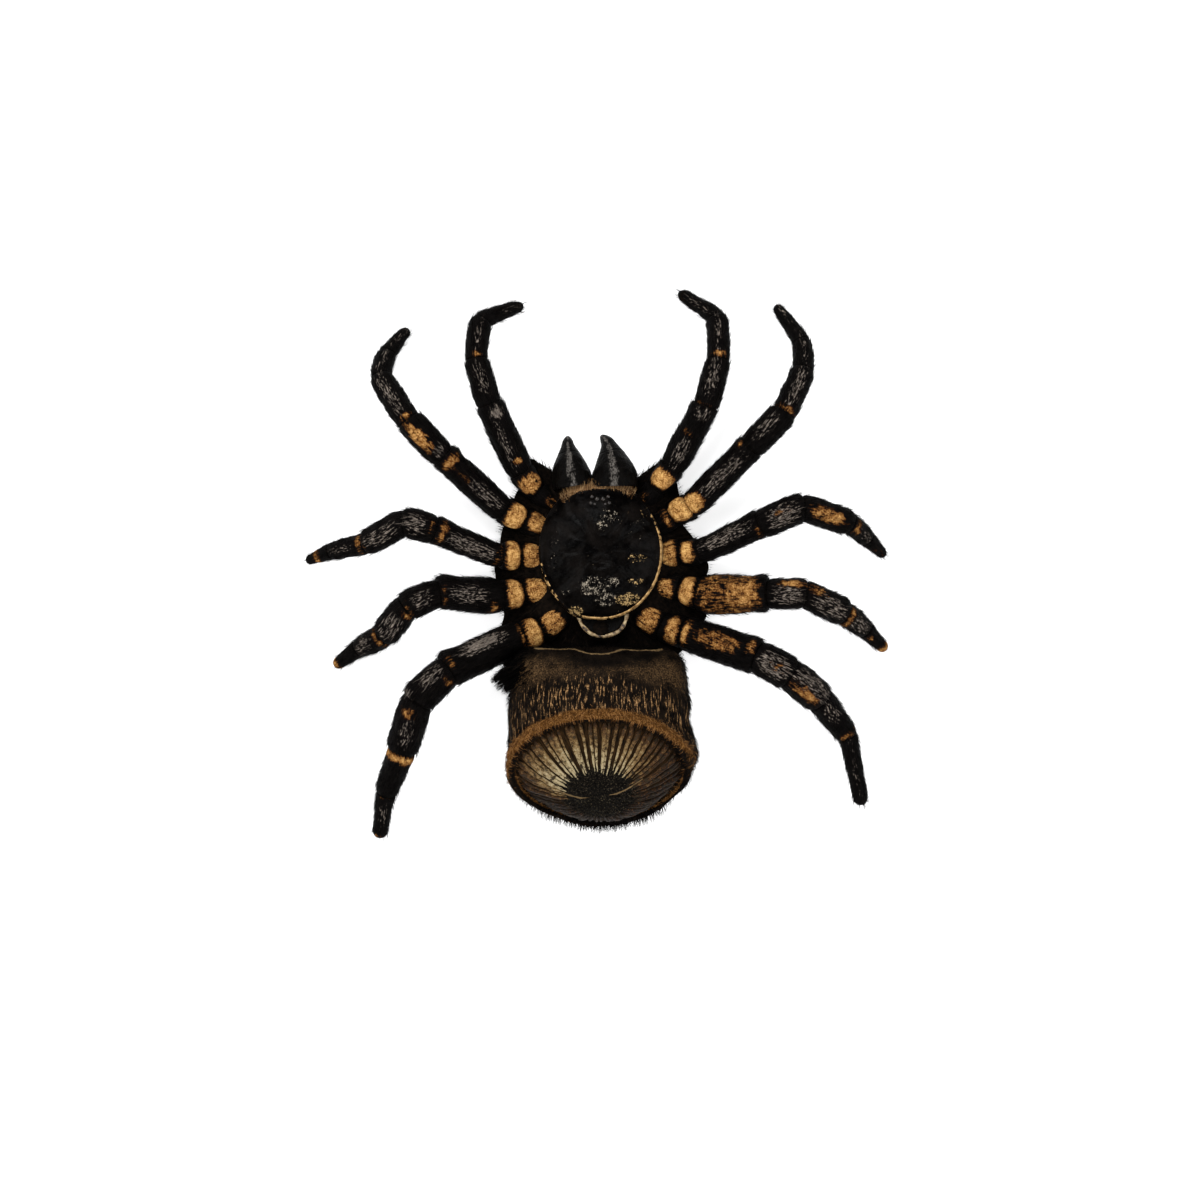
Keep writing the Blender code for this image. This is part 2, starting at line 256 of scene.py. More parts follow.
class LimbLine:
    """A limb's middle line, with its frames and girth at any length along it."""

    def __init__(self, joints, girths):
        points, radii, self.joint_at = [], [], [0.0]
        for index, (near, far) in enumerate(girths):
            span = joints[index + 1] - joints[index]
            count = max(2, int(round(np.linalg.norm(span) / SAMPLE)))
            share = np.arange(count)[:, None] / count
            points.append(joints[index] + span * share)
            radii.append(near + (far - near) * share[:, 0])
            self.joint_at.append(self.joint_at[-1] + count * SAMPLE)
        points = np.vstack(points + [joints[-1:]])
        radii = np.append(np.concatenate(radii), girths[-1][1])
        rounded = self.averaged(points, BEND_SOFTNESS)
        self.points = rounded + BEND_KEEP * (rounded - self.averaged(rounded, BEND_SOFTNESS))
        self.radii = self.averaged(radii[:, None], 0.8 * BEND_SOFTNESS)[:, 0]
        self.tangents = np.gradient(self.points, axis=0)
        self.tangents /= np.linalg.norm(self.tangents, axis=1)[:, None]
        self.places = np.arange(len(self.points)) * SAMPLE

    @staticmethod
    def averaged(values, softness):
        reach = int(3 * softness / SAMPLE)
        weights = np.exp(-0.5 * (np.arange(-reach, reach + 1) * SAMPLE / softness) ** 2)
        weights /= weights.sum()
        start = 2 * values[0] - values[reach:0:-1]
        end = 2 * values[-1] - values[-2:-reach - 2:-1]
        padded = np.vstack([start, values, end])
        return np.stack([np.convolve(column, weights, "valid") for column in padded.T], axis=1)

    def at(self, places):
        """Points, tangents, right-hand sides, tops and radii at lengths along the limb."""
        def pick(table):
            return np.stack([np.interp(places, self.places, column) for column in table.T], axis=1)
        tangents = pick(self.tangents)
        tangents /= np.linalg.norm(tangents, axis=1)[:, None]
        sides = np.cross(tangents, (0.0, 0.0, 1.0))
        sides /= np.linalg.norm(sides, axis=1)[:, None]
        radii = np.interp(places, self.places, self.radii)
        return pick(self.points), tangents, sides, np.cross(sides, tangents), radii


limb_lines = {limb: LimbLine(bowed(limb, joints), girths) for limb, (joints, girths) in limb_data.items()}
print("samples on", LIMBS[0], len(limb_lines[LIMBS[0]].points))

# %% [markdown]
# ## Marks on the limbs
#
# Hips are ochre, joints have ochre or rubbed rings, and some tops are scuffed to grey. A mark
# is written as a place on its stretch: from and to as shares of its length, its middle and half
# width as shares of the limb's half breadth seen from above (+ is the right-hand side going
# outwards, and above 1 the mark runs all round), and its strength.

# %% Table of marks
OCHRE, GREY = "ochre", "grey"
MARKS = {
    "palp_left": (
        (OCHRE, "coxa", 0.35, 0.75, 0, 0.45, 0.5), (OCHRE, "trochanter", 0.06, 0.92, 0, 0.75, 0.8),
        (OCHRE, "femur", 0.13, 0.24, 0.15, 0.3, 0.8), (GREY, "femur", 0.10, 0.80, -0.15, 0.25, 0.55),
        (GREY, "femur", 0.81, 0.97, 0.25, 0.45, 1), (GREY, "patella", 0.25, 0.9, 0, 0.4, 0.5),
        (OCHRE, "tibia", 0.00, 0.12, 0.15, 0.35, 0.8), (GREY, "tibia", 0.15, 1.0, 0, 0.2, 0.6),
        (GREY, "tarsus", 0.45, 0.9, 0, 0.3, 0.4),
    ),
    "palp_right": (
        (OCHRE, "coxa", 0.45, 0.75, -0.3, 0.4, 0.5), (OCHRE, "trochanter", 0.06, 0.92, 0, 0.75, 0.95),
        (GREY, "femur", 0.02, 0.50, 0, 0.4, 0.6), (OCHRE, "femur", 0.55, 0.64, -0.15, 0.4, 0.5),
        (GREY, "femur", 0.82, 0.98, 0, 0.5, 0.65), (OCHRE, "patella", 0.0, 0.06, -0.3, 0.45, 0.6),
        (GREY, "patella", 0.15, 0.98, -0.15, 0.45, 0.6), (OCHRE, "tibia", 0.0, 0.13, -0.05, 0.55, 1),
        (GREY, "tibia", 0.18, 1.0, 0, 0.2, 0.7), (GREY, "tarsus", 0.1, 0.8, 0, 0.4, 0.35),
    ),
    "leg_1_left": (
        (OCHRE, "coxa", 0.45, 0.98, 0.3, 0.75, 0.8), (OCHRE, "trochanter", 0.04, 0.96, 0, 0.8, 1),
        (GREY, "femur", 0.08, 0.6, 0, 0.4, 0.55), (OCHRE, "femur", 0.60, 0.86, -0.15, 0.2, 0.6),
        (OCHRE, "femur", 0.86, 0.98, 0, 0.65, 0.75), (GREY, "patella", 0.05, 0.3, 0, 0.5, 0.4),
        (OCHRE, "patella", 0.22, 1.0, -0.3, 0.45, 0.85), (OCHRE, "tibia", 0.0, 0.10, 0, 0.4, 0.8),
        (GREY, "tibia", 0.10, 1.0, -0.15, 0.4, 0.75), (GREY, "metatarsus", 0.0, 0.9, -0.15, 0.3, 0.55),
        (GREY, "tarsus", 0.2, 0.9, -0.15, 0.3, 0.5),
    ),
    "leg_1_right": (
        (OCHRE, "coxa", 0.75, 1.0, 0, 0.7, 0.7), (OCHRE, "trochanter", -0.1, 1.6, -0.15, 0.75, 1),
        (OCHRE, "femur", -0.2, 0.22, -0.1, 0.7, 1), (GREY, "femur", 0.22, 0.92, 0, 0.45, 0.65),
        (OCHRE, "femur", 0.93, 1.0, -0.7, 0.45, 0.55), (GREY, "patella", 0.2, 0.85, -0.3, 0.4, 0.6),
        (OCHRE, "tibia", 0.0, 0.09, 0, 0.75, 0.8), (GREY, "tibia", 0.12, 0.98, 0, 0.4, 0.75),
        (GREY, "metatarsus", 0.0, 1.0, 0.15, 0.2, 0.55), (GREY, "tarsus", 0.05, 0.85, 0.3, 0.2, 0.65),
    ),
    "leg_2_left": (
        (OCHRE, "coxa", 0.35, 1.0, 0, 0.85, 0.8), (OCHRE, "trochanter", 0.05, 0.95, 0, 0.9, 1),
        (OCHRE, "femur", 0.0, 0.12, 0, 0.75, 0.5), (GREY, "femur", 0.12, 0.85, -0.15, 0.55, 0.75),
        (OCHRE, "femur", 0.86, 0.97, 0, 0.75, 0.7), (OCHRE, "patella", 0.08, 0.25, 0.3, 0.45, 0.6),
        (GREY, "patella", 0.3, 1.0, 0, 0.6, 0.6), (GREY, "tibia", 0.1, 0.9, 0, 0.5, 0.65),
        (OCHRE, "tibia", 0.93, 1.0, 0, 0.75, 0.5), (OCHRE, "metatarsus", 0.0, 0.14, 0, 0.9, 0.8),
        (GREY, "metatarsus", 0.3, 0.9, 0, 0.3, 0.5), (OCHRE, "tarsus", 0.35, 0.62, 0, 1.05, 0.7),
    ),
    "leg_2_right": (
        (OCHRE, "coxa", 0.45, 0.98, 0, 0.9, 0.8), (OCHRE, "trochanter", 0.10, 0.90, 0, 0.7, 1),
        (GREY, "femur", 0.05, 0.9, -0.3, 0.5, 0.75), (OCHRE, "femur", 0.93, 1.0, 0.45, 0.45, 0.6),
        (GREY, "patella", 0.15, 0.9, 0, 0.6, 0.8), (OCHRE, "patella", 0.3, 0.8, -0.3, 0.3, 0.4),
        (OCHRE, "tibia", 0.06, 0.85, 0, 0.5, 0.8), (OCHRE, "metatarsus", 0.05, 0.30, 0, 0.7, 0.7),
        (GREY, "metatarsus", 0.3, 1.0, 0, 0.4, 0.5), (OCHRE, "tarsus", 0.3, 0.9, 0.3, 0.45, 0.4),
    ),
    "leg_3_left": (
        (OCHRE, "coxa", 0.40, 0.98, 0, 0.85, 0.85), (OCHRE, "trochanter", 0.08, 0.92, 0, 0.85, 1),
        (OCHRE, "femur", 0.08, 0.26, -0.7, 0.4, 0.55), (GREY, "femur", 0.3, 0.9, 0, 0.5, 0.6),
        (OCHRE, "femur", 0.92, 1.0, -0.3, 0.6, 0.4), (GREY, "patella", 0.2, 0.8, 0, 0.5, 0.55),
        (OCHRE, "patella", 0.9, 1.0, 0, 0.5, 0.7), (OCHRE, "tibia", 0.0, 0.14, -0.6, 0.45, 0.7),
        (GREY, "tibia", 0.2, 0.9, 0, 0.6, 0.65), (OCHRE, "metatarsus", 0.0, 0.15, 0, 0.9, 0.8),
        (GREY, "metatarsus", 0.25, 0.95, 0, 0.6, 0.5), (OCHRE, "tarsus", 0.75, 1.0, 0, 1.8, 0.75),
    ),
    "leg_3_right": (
        (OCHRE, "coxa", 0.42, 0.92, 0.3, 0.75, 0.75), (OCHRE, "trochanter", 0.08, 0.95, 0, 0.85, 0.95),
        (OCHRE, "femur", 0.0, 0.98, 0, 0.95, 0.5), (OCHRE, "femur", 0.45, 0.96, 0, 0.75, 0.7),
        (GREY, "patella", 0.1, 0.95, 0, 0.6, 0.7), (OCHRE, "patella", 0.3, 1.0, -0.7, 0.35, 0.8),
        (GREY, "tibia", 0.1, 0.95, 0, 0.6, 0.7), (OCHRE, "tibia", 0.0, 0.4, -0.6, 0.4, 0.55),
        (OCHRE, "metatarsus", 0.0, 0.2, 0, 0.9, 0.8), (GREY, "metatarsus", 0.2, 0.9, 0, 0.6, 0.7),
        (OCHRE, "tarsus", 0.1, 0.4, 0.3, 0.45, 0.5), (OCHRE, "tarsus", 0.72, 1.0, 0, 1.8, 0.8),
    ),
    "leg_4_left": (
        (OCHRE, "coxa", 0.42, 0.98, 0, 0.75, 0.8), (OCHRE, "trochanter", 0.08, 0.98, 0, 0.85, 0.95),
        (OCHRE, "femur", 0.0, 0.07, 0, 0.7, 0.8), (GREY, "femur", 0.22, 0.82, 0.55, 0.4, 1),
        (OCHRE, "femur", 0.94, 1.0, 0.3, 0.45, 0.5), (OCHRE, "patella", 0.08, 0.3, -0.6, 0.4, 0.55),
        (GREY, "patella", 0.1, 0.7, 0.45, 0.45, 0.6), (GREY, "patella", 0.9, 1.0, 0.8, 0.4, 1),
        (OCHRE, "tibia", 0.10, 0.28, 0.3, 0.45, 0.6), (GREY, "tibia", 0.3, 0.85, 0, 0.4, 0.45),
        (OCHRE, "metatarsus", 0.0, 0.20, 0, 1.1, 0.85), (OCHRE, "tarsus", 0.0, 0.08, 0, 0.6, 0.5),
        (OCHRE, "tarsus", 0.88, 1.0, 0, 1.5, 0.5), (GREY, "tarsus", 0.2, 0.7, 0, 0.4, 0.4),
    ),
    "leg_4_right": (
        (OCHRE, "coxa", 0.40, 0.95, 0, 0.85, 0.75), (OCHRE, "trochanter", 0.30, 0.98, 0, 0.8, 0.85),
        (OCHRE, "femur", 0.02, 0.15, 0, 0.7, 0.95), (OCHRE, "femur", 0.2, 0.85, -0.15, 0.5, 0.6),
        (OCHRE, "femur", 0.90, 1.0, -0.45, 0.45, 0.7), (GREY, "patella", 0.1, 0.95, 0, 0.6, 0.8),
        (OCHRE, "patella", 0.35, 0.9, 0, 0.3, 0.4), (OCHRE, "tibia", 0.0, 0.9, 0.35, 0.35, 0.65),
        (GREY, "tibia", 0.0, 1.0, -0.3, 0.6, 0.7), (GREY, "metatarsus", 0.05, 0.5, 0, 0.45, 0.5),
        (OCHRE, "metatarsus", 0.84, 0.98, 0, 0.75, 0.75), (GREY, "tarsus", 0.1, 0.8, 0, 0.2, 0.4),
    ),
}
print("marks", sum(len(rows) for rows in MARKS.values()))


# %% Strength of the marks at points of a stretch
def bell(value, middle, width):
    return np.exp(-((value - middle) / width) ** 2)


def soft_step(value, edge):
    return np.clip(0.5 + value / edge, 0.0, 1.0)


def mark_strength(limb, stretch, kind, share, around, length, girth):
    """Each point's share of a kind of mark: share along 0 to 1, around -1 to 1."""
    total = np.zeros(np.broadcast(share, around).shape)
    for row_kind, row_stretch, start, end, middle, half_width, strength in MARKS[limb]:
        if (row_kind, row_stretch) != (kind, stretch):
            continue
        spread = math.asin(min(1.0, 1.1 * half_width)) / math.pi if half_width <= 1 else 3.0
        away = np.abs((around - math.asin(middle) / math.pi + 1.0) % 2.0 - 1.0) / spread
        along = np.abs(share - (start + end) / 2) / ((end - start) / 2)
        inside = 1 - (along ** 2.6 + away ** 2.6) ** (1 / 2.6)
        size = min((end - start) / 2 * length, spread * math.pi * girth)
        total = np.maximum(total, strength * soft_step(inside * size - 0.1 * MM, 0.9 * MM))
    return total


def noise_at(points, scale, seed=0.0):
    """Perlin noise, about -1 to 1, at an array of points in metres. Scale is per millimetre."""
    step = scale / MM
    flat = points.reshape(-1, 3) * step + seed
    return np.array([noise.noise(Vector(point)) for point in flat]).reshape(points.shape[:-1])


print("noise at the origin", noise_at(np.zeros((1, 3)), 1.0, 0.5))

# %% [markdown]
# ## Skins from grids
#
# A limb stretch, the shield and the abdomen are all closed surfaces made of rings. One
# function turns a stack of rings into a mesh with closed ends and stores per-corner values
# such as the marks, which the materials read as attributes.

# %% Mesh from a stack of rings
def mesh_from_rings(name, rings, attributes, uv=None):
    """rings is (count, sides, 3). Both ends close on their ring's middle."""
    count, sides = rings.shape[:2]
    ends = [rings[0].mean(axis=0), rings[-1].mean(axis=0)]
    points = np.vstack([rings.reshape(-1, 3), ends])
    row = np.arange(count - 1)[:, None] * sides
    here, after = np.arange(sides)[None, :], (np.arange(sides) + 1)[None, :] % sides
    quads = np.stack([row + here, row + after, row + sides + after, row + sides + here], axis=-1).reshape(-1, 4)
    around = np.arange(sides)
    last = (count - 1) * sides
    first_cap = np.stack([np.roll(around, -1), around, np.full(sides, count * sides)], axis=-1)
    last_cap = np.stack([last + around, last + np.roll(around, -1), np.full(sides, count * sides + 1)], axis=-1)
    mesh = bpy.data.meshes.new(name)
    mesh.from_pydata(points.tolist(), [], quads.tolist() + first_cap.tolist() + last_cap.tolist())
    for key, values in attributes.items():
        values = np.asarray(values, float)
        if values.ndim == 3:
            flat = np.vstack([values.reshape(-1, 3), values[0].mean(axis=0), values[-1].mean(axis=0)])
            mesh.attributes.new(key, "FLOAT_VECTOR", "POINT").data.foreach_set("vector", flat.ravel())
        else:
            flat = np.append(values.ravel(), [values[0].mean(), values[-1].mean()])
            mesh.attributes.new(key, "FLOAT", "POINT").data.foreach_set("value", flat)
    if uv is not None:
        write_uv(mesh, uv)
    mesh.shade_smooth()
    mesh.update()
    return mesh


def write_uv(mesh, uv):
    """uv is (count, sides + 1, 2): the last column repeats the seam at the far side."""
    quad_uv = np.stack([uv[:-1, :-1], uv[:-1, 1:], uv[1:, 1:], uv[1:, :-1]], axis=2).reshape(-1, 2)
    first = np.stack([uv[0, 1:], uv[0, :-1], (uv[0, 1:] + uv[0, :-1]) / 2], axis=1).reshape(-1, 2)
    last = np.stack([uv[-1, :-1], uv[-1, 1:], (uv[-1, 1:] + uv[-1, :-1]) / 2], axis=1).reshape(-1, 2)
    layer = mesh.uv_layers.new(name="skin")
    layer.data.foreach_set("uv", np.vstack([quad_uv, first, last]).ravel())


def add_piece(name, mesh, material, slot, *nodes):
    """Shows a mesh as a piece of the specimen and lets it stand for CAD nodes."""
    piece = bpy.data.objects.new(name, mesh)
    bpy.context.scene.collection.objects.link(piece)
    if material is not None:
        mesh.materials.clear()
        mesh.materials.append(material)
    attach(piece, BODY)
    if nodes:
        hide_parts(*nodes)
    return piece


# %% [markdown]
# ## Finishes
#
# Each finish is a small node tree. Noise stretched along the skin's own map makes the streaks
# of rubbed hair, and the marks' edges are torn by adding noise before they are cut off.

# %% Shader helpers
def new_finish(name, roughness, specular=0.5):
    """A material's tree and shader, with its even values set on the shader."""
    material = bpy.data.materials.new(name)
    material.use_nodes = True
    tree = material.node_tree
    shader = tree.nodes["Principled BSDF"]
    shader.inputs["Roughness"].default_value = roughness
    shader.inputs["Specular IOR Level"].default_value = specular
    return material, tree, shader


def pattern(tree, source, scale, detail=3.0, stretch=(1.0, 1.0, 1.0), roughness=0.55):
    """Noise on a map in metres. Scale is lumps per millimetre."""
    mapping = add(tree, "ShaderNodeMapping", {"Vector": source, "Scale": [s * scale / MM for s in stretch]})
    made = add(tree, "ShaderNodeTexNoise", {
        "Vector": mapping.outputs["Vector"], "Scale": 1.0, "Detail": detail, "Roughness": roughness,
    })
    return made.outputs["Fac"]


def object_place(tree):
    return add(tree, "ShaderNodeTexCoord").outputs["Object"]


def skin_map(tree):
    return add(tree, "ShaderNodeUVMap", uv_map="skin").outputs["UV"]


def attribute(tree, name):
    return add(tree, "ShaderNodeAttribute", attribute_name=name).outputs["Fac"]


# %% Arithmetic nodes
def math_node(tree, operation, first, second):
    return add(tree, "ShaderNodeMath", {0: first, 1: second}, operation=operation).outputs[0]


def plus(tree, first, second):
    return math_node(tree, "ADD", first, second)


def less(tree, first, second):
    return math_node(tree, "SUBTRACT", first, second)


def times(tree, first, second):
    return math_node(tree, "MULTIPLY", first, second)


def weighed(tree, *parts):
    """The sum of (value, weight) pairs."""
    total = times(tree, *parts[0])
    for part in parts[1:]:
        total = plus(tree, total, times(tree, *part))
    return total


def band(tree, value, low, high):
    """0 below low, 1 above high and smooth between."""
    made = add(tree, "ShaderNodeMapRange", {
        "Value": value, "From Min": low, "From Max": high, "To Min": 0.0, "To Max": 1.0,
    }, interpolation_type="SMOOTHSTEP")
    return made.outputs["Result"]


# %% Colour nodes
def colors(tree, value, *stops):
    """A colour ramp: stops are (place, (r, g, b))."""
    made = add(tree, "ShaderNodeValToRGB", {"Fac": value})
    ramp = made.color_ramp
    while len(ramp.elements) < len(stops):
        ramp.elements.new(0.5)
    for element, (place, color) in zip(ramp.elements, stops):
        element.position = place
        element.color = (*color, 1.0)
    return made.outputs["Color"]


def mix(tree, share, below, above):
    made = add(tree, "ShaderNodeMix", data_type="RGBA")
    for socket, value in ((made.inputs[0], share), (made.inputs[6], below), (made.inputs[7], above)):
        if isinstance(value, bpy.types.NodeSocket):
            tree.links.new(value, socket)
        else:
            socket.default_value = (*value, 1.0) if isinstance(value, tuple) else value
    return made.outputs[2]


def paint(tree, shader, color):
    tree.links.new(color, shader.inputs["Base Color"])


def bump(tree, shader, height, depth):
    made = add(tree, "ShaderNodeBump", {"Height": height, "Distance": depth, "Strength": 1.0})
    tree.links.new(made.outputs["Normal"], shader.inputs["Normal"])


BLACK_SKIN = ((0.3, (0.0006, 0.0005, 0.0005)), (0.75, (0.0035, 0.0028, 0.0025)))
OCHRE_SKIN = (
    (0.28, (0.018, 0.006, 0.002)), (0.40, (0.145, 0.060, 0.016)),
    (0.52, (0.36, 0.190, 0.060)), (0.64, (0.58, 0.360, 0.125)),
)
GREY_SKIN = ((0.35, (0.04, 0.033, 0.028)), (0.68, (0.21, 0.175, 0.145)))
print("ochre steps", len(OCHRE_SKIN))


# %% Limb skin
def make_limb_skin():
    material, tree, shader = new_finish("limb_skin", 0.6, specular=0.015)
    skin, place = skin_map(tree), object_place(tree)
    streaks = pattern(tree, skin, 1.0, 4.0, (0.62, 3.4, 1.0), 0.62)
    scratches = pattern(tree, skin, 1.0, 3.0, (1.3, 7.0, 1.0), 0.6)
    blotch, speck = pattern(tree, place, 0.9, 4.0), pattern(tree, place, 4.5, 2.0)
    pits = band(tree, pattern(tree, place, 2.2, 2.0), 0.36, 0.44)
    marked, worn = attribute(tree, "ochre"), attribute(tree, "grey")

    torn = less(tree, weighed(tree, (blotch, 0.8), (streaks, 1.8)), 1.28)
    ochre = band(tree, plus(tree, marked, times(tree, torn, 1.6)), 0.40, 0.62)
    ochre = times(tree, ochre, band(tree, marked, 0.04, 0.22))
    rubbed_and_sheen = less(tree, weighed(tree, (streaks, 4.4), (scratches, 4.6), (worn, 0.75)), 4.55)
    grey = times(tree, band(tree, rubbed_and_sheen, 0.62, 0.95), band(tree, worn, 0.02, 0.3))
    bare = times(tree, band(tree, worn, 0.90, 0.97), band(tree, streaks, 0.3, 0.5))
    grey = math_node(tree, "MAXIMUM", grey, bare)
    mottled = less(tree, weighed(tree, (blotch, 0.45), (speck, 0.55), (pits, 0.07), (marked, 0.30)), 0.37)

    color = mix(tree, grey, colors(tree, streaks, *BLACK_SKIN), colors(tree, scratches, *GREY_SKIN))
    paint(tree, shader, mix(tree, ochre, color, colors(tree, mottled, *OCHRE_SKIN)))
    tree.links.new(plus(tree, times(tree, ochre, 0.18), 0.52), shader.inputs["Roughness"])
    bump(tree, shader, plus(tree, streaks, times(tree, speck, 0.7)), 0.22 * MM)
    return material


limb_skin = make_limb_skin()
print("made", limb_skin.name)


# %% [markdown]
# ## Limb stretches
#
# Each stretch is skin over a hard tube. It swells a little before the joint, draws in behind
# it, is wrinkled lengthwise where it dried, and its ochre knobs stand up from the black.

# %% Sizes of the stretches
RING_STEP = 0.26 * MM
LIMB_ROUND = 52
JOINT_GAP = 0.05 * MM
END_ROUNDING = 0.36 * MM
ROUNDING_STEPS = np.array([0.0, 0.06, 0.18, 0.38, 0.66])
SHOULDER = 0.90
TIP_ROUNDER = 2.2
TIP_ROUND, TIP_TAPER = 0.9 * MM, 3.2 * MM
KNEE = {"femur": 0.12, "patella": 0.05, "tibia": 0.06}
STRAIGHT_KNEE = {"leg_4_right": 0.2}
FULLER = {"patella": 1.03, "tibia": 1.05, "metatarsus": 1.09, "tarsus": 1.19}
FULLER_PALP = {"femur": 0.96, "patella": 0.98, "tibia": 1.05, "tarsus": 0.97}
FULLER_FEMUR = {
    "leg_2_left": -0.08, "leg_2_right": -0.05, "leg_3_left": 0.04, "leg_3_right": 0.14,
    "leg_4_left": 0.04, "leg_4_right": 0.08,
}
SWELL = {
    "coxa": 0.04, "trochanter": 0.03, "femur": 0.04, "patella": 0.04, "tibia": 0.04, "metatarsus": 0.03,
    "tarsus": -0.04,
}
KNOB = {"coxa": 0.45, "trochanter": 0.62, "femur": 0.12, "patella": 0.10}
print("stretches with a swelling", len(SWELL))


# %% Where a stretch's rings lie, and its girth there
def stretch_places(start, end, is_tip):
    """Lengths along the limb for the rings, close together at the rounded ends."""
    steps = ROUNDING_STEPS * END_ROUNDING
    last_steps = steps * (TIP_ROUNDER if is_tip else 1.0)
    count = max(4, int((end - start) / RING_STEP))
    inner = np.linspace(start + END_ROUNDING, end - last_steps[-1] * 1.5, count)
    return np.concatenate([start + steps, inner, end - last_steps[::-1]])


def stretch_shape(limb, stretch, places, start, end, is_tip):
    """Girth as a share of the limb's own, and the distance to the nearer end."""
    to_end = end - places
    near_end = np.minimum(places - start, to_end / (TIP_ROUNDER if is_tip else 1.0))
    drawn_in = (1 - np.clip(near_end / END_ROUNDING, 0, 1)) ** 2
    shape = SHOULDER + (1 - SHOULDER) * np.sqrt(np.clip(1 - drawn_in, 0, 1))
    if not is_tip:
        shape = shape * (1 + 0.045 * bell(to_end, 0.9 * MM, 0.8 * MM))
    shape *= 1 - 0.05 * bell(places, start, 0.9 * MM)
    shape *= 1 + SWELL[stretch] * np.sin(np.pi * ((places - start) / (end - start))) ** 2
    if is_tip:
        tip_share = np.clip(to_end / TIP_ROUND, 0, 1)
        taper = 0.34 if limb.startswith("palp") else 0.20
        shape *= 0.3 + 0.7 * np.sqrt(1 - (1 - tip_share) ** 2)
        shape *= 1 - taper * np.clip(1 - to_end / TIP_TAPER, 0, 1) ** 1.8
    return shape, near_end


def fullness(limb, stretch):
    fuller = (FULLER_PALP if limb.startswith("palp") else FULLER).get(stretch, 1.0)
    return fuller + (FULLER_FEMUR.get(limb, 0.0) if stretch == "femur" else 0.0)


# %% One stretch as rings
def stretch_rings(limb, index, stretch, is_tip):
    line = limb_lines[limb]
    start, end = line.joint_at[index] + JOINT_GAP, line.joint_at[index + 1] - JOINT_GAP
    places = stretch_places(start, end, is_tip)
    share = ((places - start) / (end - start))[:, None]
    turn = 2 * np.pi * np.arange(LIMB_ROUND) / LIMB_ROUND
    around = (turn / np.pi + 1.0) % 2.0 - 1.0
    middles, tangents, sides, tops, radii = line.at(places)
    shape, near_end = stretch_shape(limb, stretch, places, start, end, is_tip)
    outward = np.sin(turn)[None, :, None] * sides[:, None] + np.cos(turn)[None, :, None] * tops[:, None]
    marks = {kind: mark_strength(limb, stretch, kind, share, around[None, :], end - start, radii.mean())
             for kind in (OCHRE, GREY)}
    front = 1 if limb.endswith("left") else -1
    knee = KNEE.get(stretch, 0.0) * STRAIGHT_KNEE.get(limb, 1.0) * bell(end - places, 1.2 * MM, 1.5 * MM)[:, None]
    knee = knee * np.clip(front * np.sin(turn), 0, 1)[None, :]
    radius = (radii * shape * fullness(limb, stretch))[:, None] * (1 + knee)
    base = middles[:, None] + outward * radius[..., None]
    seed = 7.0 * LIMBS.index(limb) + index
    wrinkle_at = np.stack(np.broadcast_arrays(places[:, None] * 0.22, np.cos(turn)[None, :] * 2.2 * MM,
                                              np.sin(turn)[None, :] * 2.2 * MM), axis=-1)
    relief = 0.10 * noise_at(wrinkle_at, 1.0, seed) + 0.13 * noise_at(base, 0.55, seed)
    relief += 0.05 * noise_at(base, 1.7, seed)
    relief += KNOB.get(stretch, 0.06) * marks[OCHRE] * np.clip(near_end / (0.7 * MM), 0, 1)[:, None]
    rings = base + outward * (relief * MM * np.clip(near_end / (0.5 * MM), 0.25, 1)[:, None])[..., None]
    rings[..., 2] = np.maximum(rings[..., 2], 0.05 * MM)
    turn_uv = np.linspace(-1, 1, LIMB_ROUND + 1)[None, :]
    uv = np.stack(np.broadcast_arrays(places[:, None], turn_uv * np.pi * radii.mean()), axis=-1)
    return rings, {**marks, "lay": np.broadcast_to(tangents[:, None], rings.shape)}, uv


# %% A stretch as a piece
def turned_to_seam(table):
    """Moves the seam of the rings to the underside, where the skin map's seam is."""
    return np.roll(table, LIMB_ROUND // 2, axis=1)


def make_stretch(limb, index, stretch, is_tip):
    rings, attributes, uv = stretch_rings(limb, index, stretch, is_tip)
    attributes = {key: turned_to_seam(values) for key, values in attributes.items()}
    mesh = mesh_from_rings(f"{limb}_{stretch}_skin", turned_to_seam(rings), attributes, uv)
    slot = "joint_skin" if stretch in ("coxa", "trochanter") else "skin"
    return add_piece(f"{limb}_{stretch}_skin", mesh, limb_skin, slot, node_of(limb, stretch))


# %% All limb stretches
limb_pieces = {}
for limb in LIMBS:
    stretches = PALP_STRETCHES if limb.startswith("palp") else LEG_STRETCHES
    limb_pieces[limb] = [
        make_stretch(limb, index, stretch, is_tip=stretch == stretches[-1])
        for index, stretch in enumerate(stretches)
    ]
print("limb pieces", sum(len(pieces) for pieces in limb_pieces.values()))

# %% [markdown]
# ## Soft skin in the joints
#
# Between two hard tubes there is a narrow ring of dark, soft skin. One thin tube runs through
# the whole limb a little below the surface, so every joint shows it and none is open.

# %% Tubes along any line
def smooth_rows(table, places):
    """Catmull-Rom through the rows of a table, at row numbers that need not be whole."""
    rows = np.vstack([2 * table[0] - table[1], table, 2 * table[-1] - table[-2]])
    base = np.clip(places.astype(int), 0, len(table) - 2)
    step = (places - base).reshape(-1, *[1] * (table.ndim - 1))
    before, here, after, beyond = (rows[base + shift] for shift in range(4))
    return 0.5 * (2 * here + (after - before) * step + (2 * before - 5 * here + 4 * after - beyond) * step ** 2
                  + (3 * here - before - 3 * after + beyond) * step ** 3)


